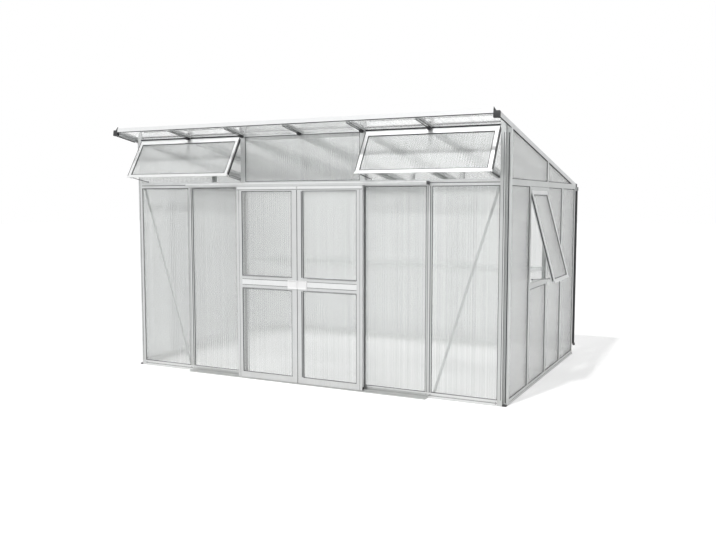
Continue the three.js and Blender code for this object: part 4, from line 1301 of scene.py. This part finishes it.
# %% [markdown]
# Along a side wall the same ribs and groove are drawn along y, with a thin shadow line under the
# beam over the window. They are modelled on the right, and their mirror image serves the left wall.

# %% Side sill ribs
side_y = (SIDE_BAYS[0][0] + 0.001, SIDE_BAYS[3][1] - 0.001)
under_beam_y = (SIDE_LINES[1] + 0.010, SIDE_LINES[2] - 0.010)
under_beam_z = (BEAM_LOW - 0.0015, BEAM_LOW + 0.0010)


def side_strip(y, z, proud, *section):
    """A strip on the right wall's outer face; the section is its inset, lift and rounding."""
    return profile("strip", across(1, 0.0001, proud, HALF), y, z, (X, 1), *section)


ribs = [side_strip(side_y, z, 0.0028, 0.002, 0.0006) for z in (UPPER_RIB, LOWER_RIB)]
lines = [side_strip(side_y, GROOVE, 0.0010, 0.0008, -0.0003, 0.0001)]
lines.append(side_strip(under_beam_y, under_beam_z, 0.0008, 0.0007, -0.0002, 0.0001))
for name, parts, look in (("sill_ribs", ribs, RAIL), ("wall_lines", lines, RUBBER)):
    on_right = joined(f"right_{name}", parts)
    on_left = flipped(named(copies(on_right, [(0, 0, 0)])[1], f"left_{name}"))
    hand_over(on_right, HOUSE, look)
    hand_over(on_left, HOUSE, look)

# %% [markdown]
# ## Rear ends of the gable bars
# A small black plug with a cheek on the outside closes the low end of each gable bar. It is the
# black spot at the roof's rear corner in the photograph.

# %% Rear plugs
PLUG_Z, PLUG_END = (-0.0395, 0.0025), SHEET_END + 0.0120
plug_y, cheek_y = (SHEET_END + 0.0022, PLUG_END), (SHEET_END - 0.0450, PLUG_END)
plug = (HALF - 0.036, HALF - 0.0002), plug_y, PLUG_Z, TO_REAR, 0.005, -0.002, 0.0012
cheek = (HALF + 0.0002, HALF + 0.0024), cheek_y, PLUG_Z, OUT, 0.004, -0.0006, 0.0008
both_sides("{}_rear_plug", HOUSE, BLACK, plug, cheek, lay=onto_roof)

# %% [markdown]
# ## The overhang's edge strips
# Under the overhang every rafter has a black strip along both of its edges, where the sheets rest. The strips
# are partly painted shade: their black stands in for the rafter's shaded sides.
# One is drawn flat under the roof and copied to the other edges, and all are laid onto the slope.

# %% Rafter strips
RAFTER_LOW = -0.0256
RAFTERS = [BAY * n for n in (-2, -1, 0, 1, 2)]
rafter_edges = [x + edge for x in RAFTERS for edge in (-0.0165, 0.0165)]
strip_y, strip_z = (ROOF_FRONT + 0.036, -0.010), (RAFTER_LOW - 0.0030, RAFTER_LOW - 0.0002)
# Black edge strips, partly painted shade for the rafters' shaded sides.
strip = profile("strip", about(rafter_edges[0], 0.0030), strip_y, strip_z, DOWN, 0.0015, 0.0008)
hand_over(onto_roof(joined("rafter_edge_shade_strips", row(strip, rafter_edges))), HOUSE, RUBBER)

# %% [markdown]
# Where a rafter crosses the front wall, a small dark bracket holds it. It is a block that narrows
# downwards and forwards, and its foot is hollow like a moulding's.

# %% Rafter brackets
BRACKET_FOOT = (0.8, 0.55, 1)
bracket_x = about(RAFTERS[0], 0.015)
bracket = block("bracket", bracket_x, (-0.046, 0.002), (RAFTER_LOW - 0.0200, RAFTER_LOW - 0.0002))
pick_side(bracket, DOWN)
bpy.ops.transform.resize(value=BRACKET_FOOT)
bpy.ops.transform.translate(value=(0, 0.006, 0))
press(DOWN, inset=0.003, lift=-0.004)
leave()
soften(bracket, 0.0010)
hand_over(onto_roof(joined("rafter_brackets", row(bracket, RAFTERS))), HOUSE, BLACK)

# %% [markdown]
# ## The gable bars' lower seals
# Under each gable bar a black seal meets the wall: one run in the overhang, and one over each of the two
# gable sheets. Its black also stands in for the shade under the bar, so it is partly painted shade. The runs
# are drawn flat, like all of the roof's pieces.

# %% Gable bar's lower seals
# Black seal runs, partly painted shade under each gable bar.
GABLE_SHADE_SEAL_RUNS = ((ROOF_FRONT + 0.033, 0.0, -0.0405), (0.0790, 1.2670, -0.0452), (1.3220, 2.2900, -0.0452))
seal_x = (HALF - 0.0033, HALF - 0.0010)
runs = [(seal_x, (start, end), (top - 0.0060, top), OUT, 0.0015, 0.0006) for start, end, top in GABLE_SHADE_SEAL_RUNS]
both_sides("{}_gable_seal", HOUSE, RUBBER, *runs, lay=onto_roof)

# %% [markdown]
# ## The flaps' second stays
# A flap this wide has a stay at each end. The second one is a copy of the CAD stay, merged into one
# skin and moved to the flap's other end. It rides on the same moving part as the first, which works
# because both turn together.

# %% Second stays
STAY_STEP = -1.145
for side in ("left", "right"):
    stay = node_copy(f"{side}_second_stay", f"{side}_flap_stay")
    bpy.ops.mesh.normals_make_consistent(inside=False)
    bpy.ops.transform.translate(value=(STAY_STEP, 0, 0))
    leave()
    hand_over(stay, f"{side}_stay", DARK_STAY)

# %% [markdown]
# Two lugs and a pin hold the stay on the flap, and its peg stands on a small shelf behind the beam.
# A lug is a small plate whose outer end is rounded by a bevel of its two corners. The shelf is a
# plate, and the peg a rod whose top is inset and lifted to a point that guides the stay's hole.

# %% Lugs and pegs of the second stays
STAY_HALF = 0.007
LUG_HALF, LUG_GAP, LUG_THICK = 0.007, 0.0005, 0.0030
PIN_Y, PIN_Z = PIVOT.y + 0.033, FLAP_LOW + 0.0085
PEG_RADIUS, PEG_LENGTH = 0.003, 0.020


def lug_corner(edge):
    """Whether an edge lies at the lug's outer end and runs across it."""
    start, end = (v.co for v in edge.verts)
    return start.y > PIN_Y and end.y > PIN_Y and abs(start.x - end.x) > 0.001


def second_lugs(side, x):
    parts = []
    for out in (-1, 1):
        lug_x = across(out, STAY_HALF + LUG_GAP, STAY_HALF + LUG_GAP + LUG_THICK, x)
        lug = block("lug", lug_x, (PIN_Y - 0.0079, PIN_Y + LUG_HALF), about(PIN_Z, LUG_HALF))
        pick(lug, "EDGE", lug_corner)
        bpy.ops.mesh.bevel(offset=0.0045, segments=4, affect="EDGES")
        leave()
        parts.append(lug)
    pin = rod("pin", 0.0024, 0.0250, (x, PIN_Y, PIN_Z), corners=16, turn=LYING)
    pick(pin, "FACE", lambda f: abs(f.normal.x) > STRAIGHT)
    bpy.ops.mesh.inset(thickness=0.0006)
    leave()
    hand_over(opened(joined(f"{side}_second_lugs", [*parts, pin])), f"{side}_flap", VENT)


def second_peg(side, x):
    peg_x = x + STAY_HALF + 0.0035
    shelf_x, shelf_y = (x - 0.012, peg_x + 0.012), (FRONT + 0.0302, FRONT + 0.062)
    shelf_z = (BEAM_TOP - 0.003, BEAM_TOP)
    shelf = profile("shelf", shelf_x, shelf_y, shelf_z, UP, 0.002, -0.0003, 0.0003)
    peg_place = (peg_x, FRONT + 0.054, BEAM_TOP + PEG_LENGTH / 2)
    peg = rod("peg", PEG_RADIUS, PEG_LENGTH, peg_place, corners=16)
    pressed(peg, UP, inset=0.0012, lift=0.0015)
    hand_over(joined(f"{side}_second_peg", [shelf, peg]), HOUSE, STAY)


for side, x in (("left", -1.8155), ("right", 0.6705)):
    second_lugs(side, x)
    second_peg(side, x)

# %% [markdown]
# ## Rain water fittings
# Black stop ends close the gutter, and brackets under it carry it. The rear is hidden in the
# photograph, except for a small black piece at the roof's rear corner, so their shapes are guessed.
# An end lies just inside the trough, and its middle is sunk.

# %% Gutter ends and brackets
gutter_low, gutter_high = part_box("rear_gutter")
TROUGH_WALL = 0.0023
end_y = (gutter_low.y + TROUGH_WALL, gutter_high.y - TROUGH_WALL)
end_z = (gutter_low.z + TROUGH_WALL, gutter_high.z - 0.0010)
end_x = (gutter_high.x - 0.0030, gutter_high.x - 0.0004)
both_sides("{}_gutter_end", HOUSE, BLACK, (end_x, end_y, end_z, OUT, 0.005, -0.0009, 0.0006))
HOLDERS = (-1.55, -0.62, 0.0, 0.62, 1.55)
holder_y = (gutter_low.y + 0.001, gutter_high.y - 0.006)
holder_z = before(gutter_low.z, 0.0004, 0.0042)
holder = profile("holder", about(HOLDERS[0], 0.012), holder_y, holder_z, DOWN, 0.003, -0.0012, 0.0006)
hand_over(joined("gutter_brackets", row(holder, HOLDERS)), HOUSE, SECTION)

# %% [markdown]
# Saddles hold the pipe to the wall. Each is a small black block between the pipe and the wall, sunk
# in its middle where the pipe lies, and they stand half a metre apart.

# %% Pipe saddles
PIPE_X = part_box("downpipe")[1].x - 0.014
SADDLE_STEP = 0.5
saddle_y, saddle_z = (REAR + 0.0004, REAR + 0.0172), about(SADDLE_STEP, 0.012)
saddle = pressed(block("saddle", about(PIPE_X, 0.011), saddle_y, saddle_z), TO_REAR, 0.003, -0.0012)
saddles = copies(soften(saddle, 0.0010), [(0, 0, SADDLE_STEP), (0, 0, 2 * SADDLE_STEP)])
hand_over(joined("pipe_saddles", saddles), HOUSE, BLACK)

# %% [markdown]
# ## Screws at the posts' feet
# The sills are held by screws. One screw head is modelled pointing up, turned to face the front at
# the first place, and copied to the others.

# %% Front screws
post_feet = [line * BAY + aside for line in (-2, -1, 1, 2) for aside in (-0.018, 0.018)]
places = [(x, FRONT, SILL_TOP - 0.014) for x in post_feet]
places +=[(sign * (CORNER - 0.012), FRONT, z) for side, sign in SIDES for z in (0.014, 0.034)]
head = screw("head", radius=0.0050, height=0.0016, place=(0, 0, 0.0009))
turned(head, math.radians(-90), "X", shift=places[0])
heads = copies(head, [Vector(place) - Vector(places[0]) for place in places[1:]])
hand_over(joined("front_screws", heads), HOUSE, STAY)

# %% [markdown]
# ## The floor
# The floor is plain and nearly white. It glows a little towards the camera and in reflections, so
# that it meets the white sky without a line, and it still takes the soft shadow. Through the sheets
# it glows less and is a little greyer, so the foot of a wall looks no brighter than its head.

# %% Floor
FLOOR_SIZE = 90
GLOW, GLOW_THROUGH = 0.40, 0.25
GREY, GREY_THROUGH = 0.72, 0.52
deselect()
bpy.ops.mesh.primitive_plane_add(size=FLOOR_SIZE, location=(0, 10, 0))
floor = bpy.context.object
floor.name = "floor"
floor_paint, tree, shader = new_finish("floor_paint")
set_inputs(shader, {"Roughness": 1.0, "Specular IOR Level": 0.0, "Emission Color": (1, 1, 1, 1)})
rays = add_node(tree, "LightPath")
seen = add_node(tree, "Math", {1: GLOW_THROUGH}, operation="MULTIPLY")
seen_too = add_node(tree, "Math", operation="MAXIMUM")
seen_at_all = add_node(tree, "Math", operation="MAXIMUM")
glow = add_node(tree, "MapRange", {"To Max": GLOW})
grey = add_node(tree, "MapRange", {"To Min": GREY, "To Max": GREY_THROUGH})
wire(
    tree,
    (rays, "Is Transmission Ray", seen, 0),
    (rays, "Is Camera Ray", seen_too, 0),
    (seen, 0, seen_too, 1),
    (rays, "Is Glossy Ray", seen_at_all, 0),
    (seen_too, 0, seen_at_all, 1),
    (seen_at_all, 0, glow, "Value"),
    (glow, "Result", shader, "Emission Strength"),
    (rays, "Is Transmission Ray", grey, "Value"),
    (grey, "Result", shader, "Base Color"),
)
floor.data.materials.append(floor_paint)
print("floor", FLOOR_SIZE, "m wide")
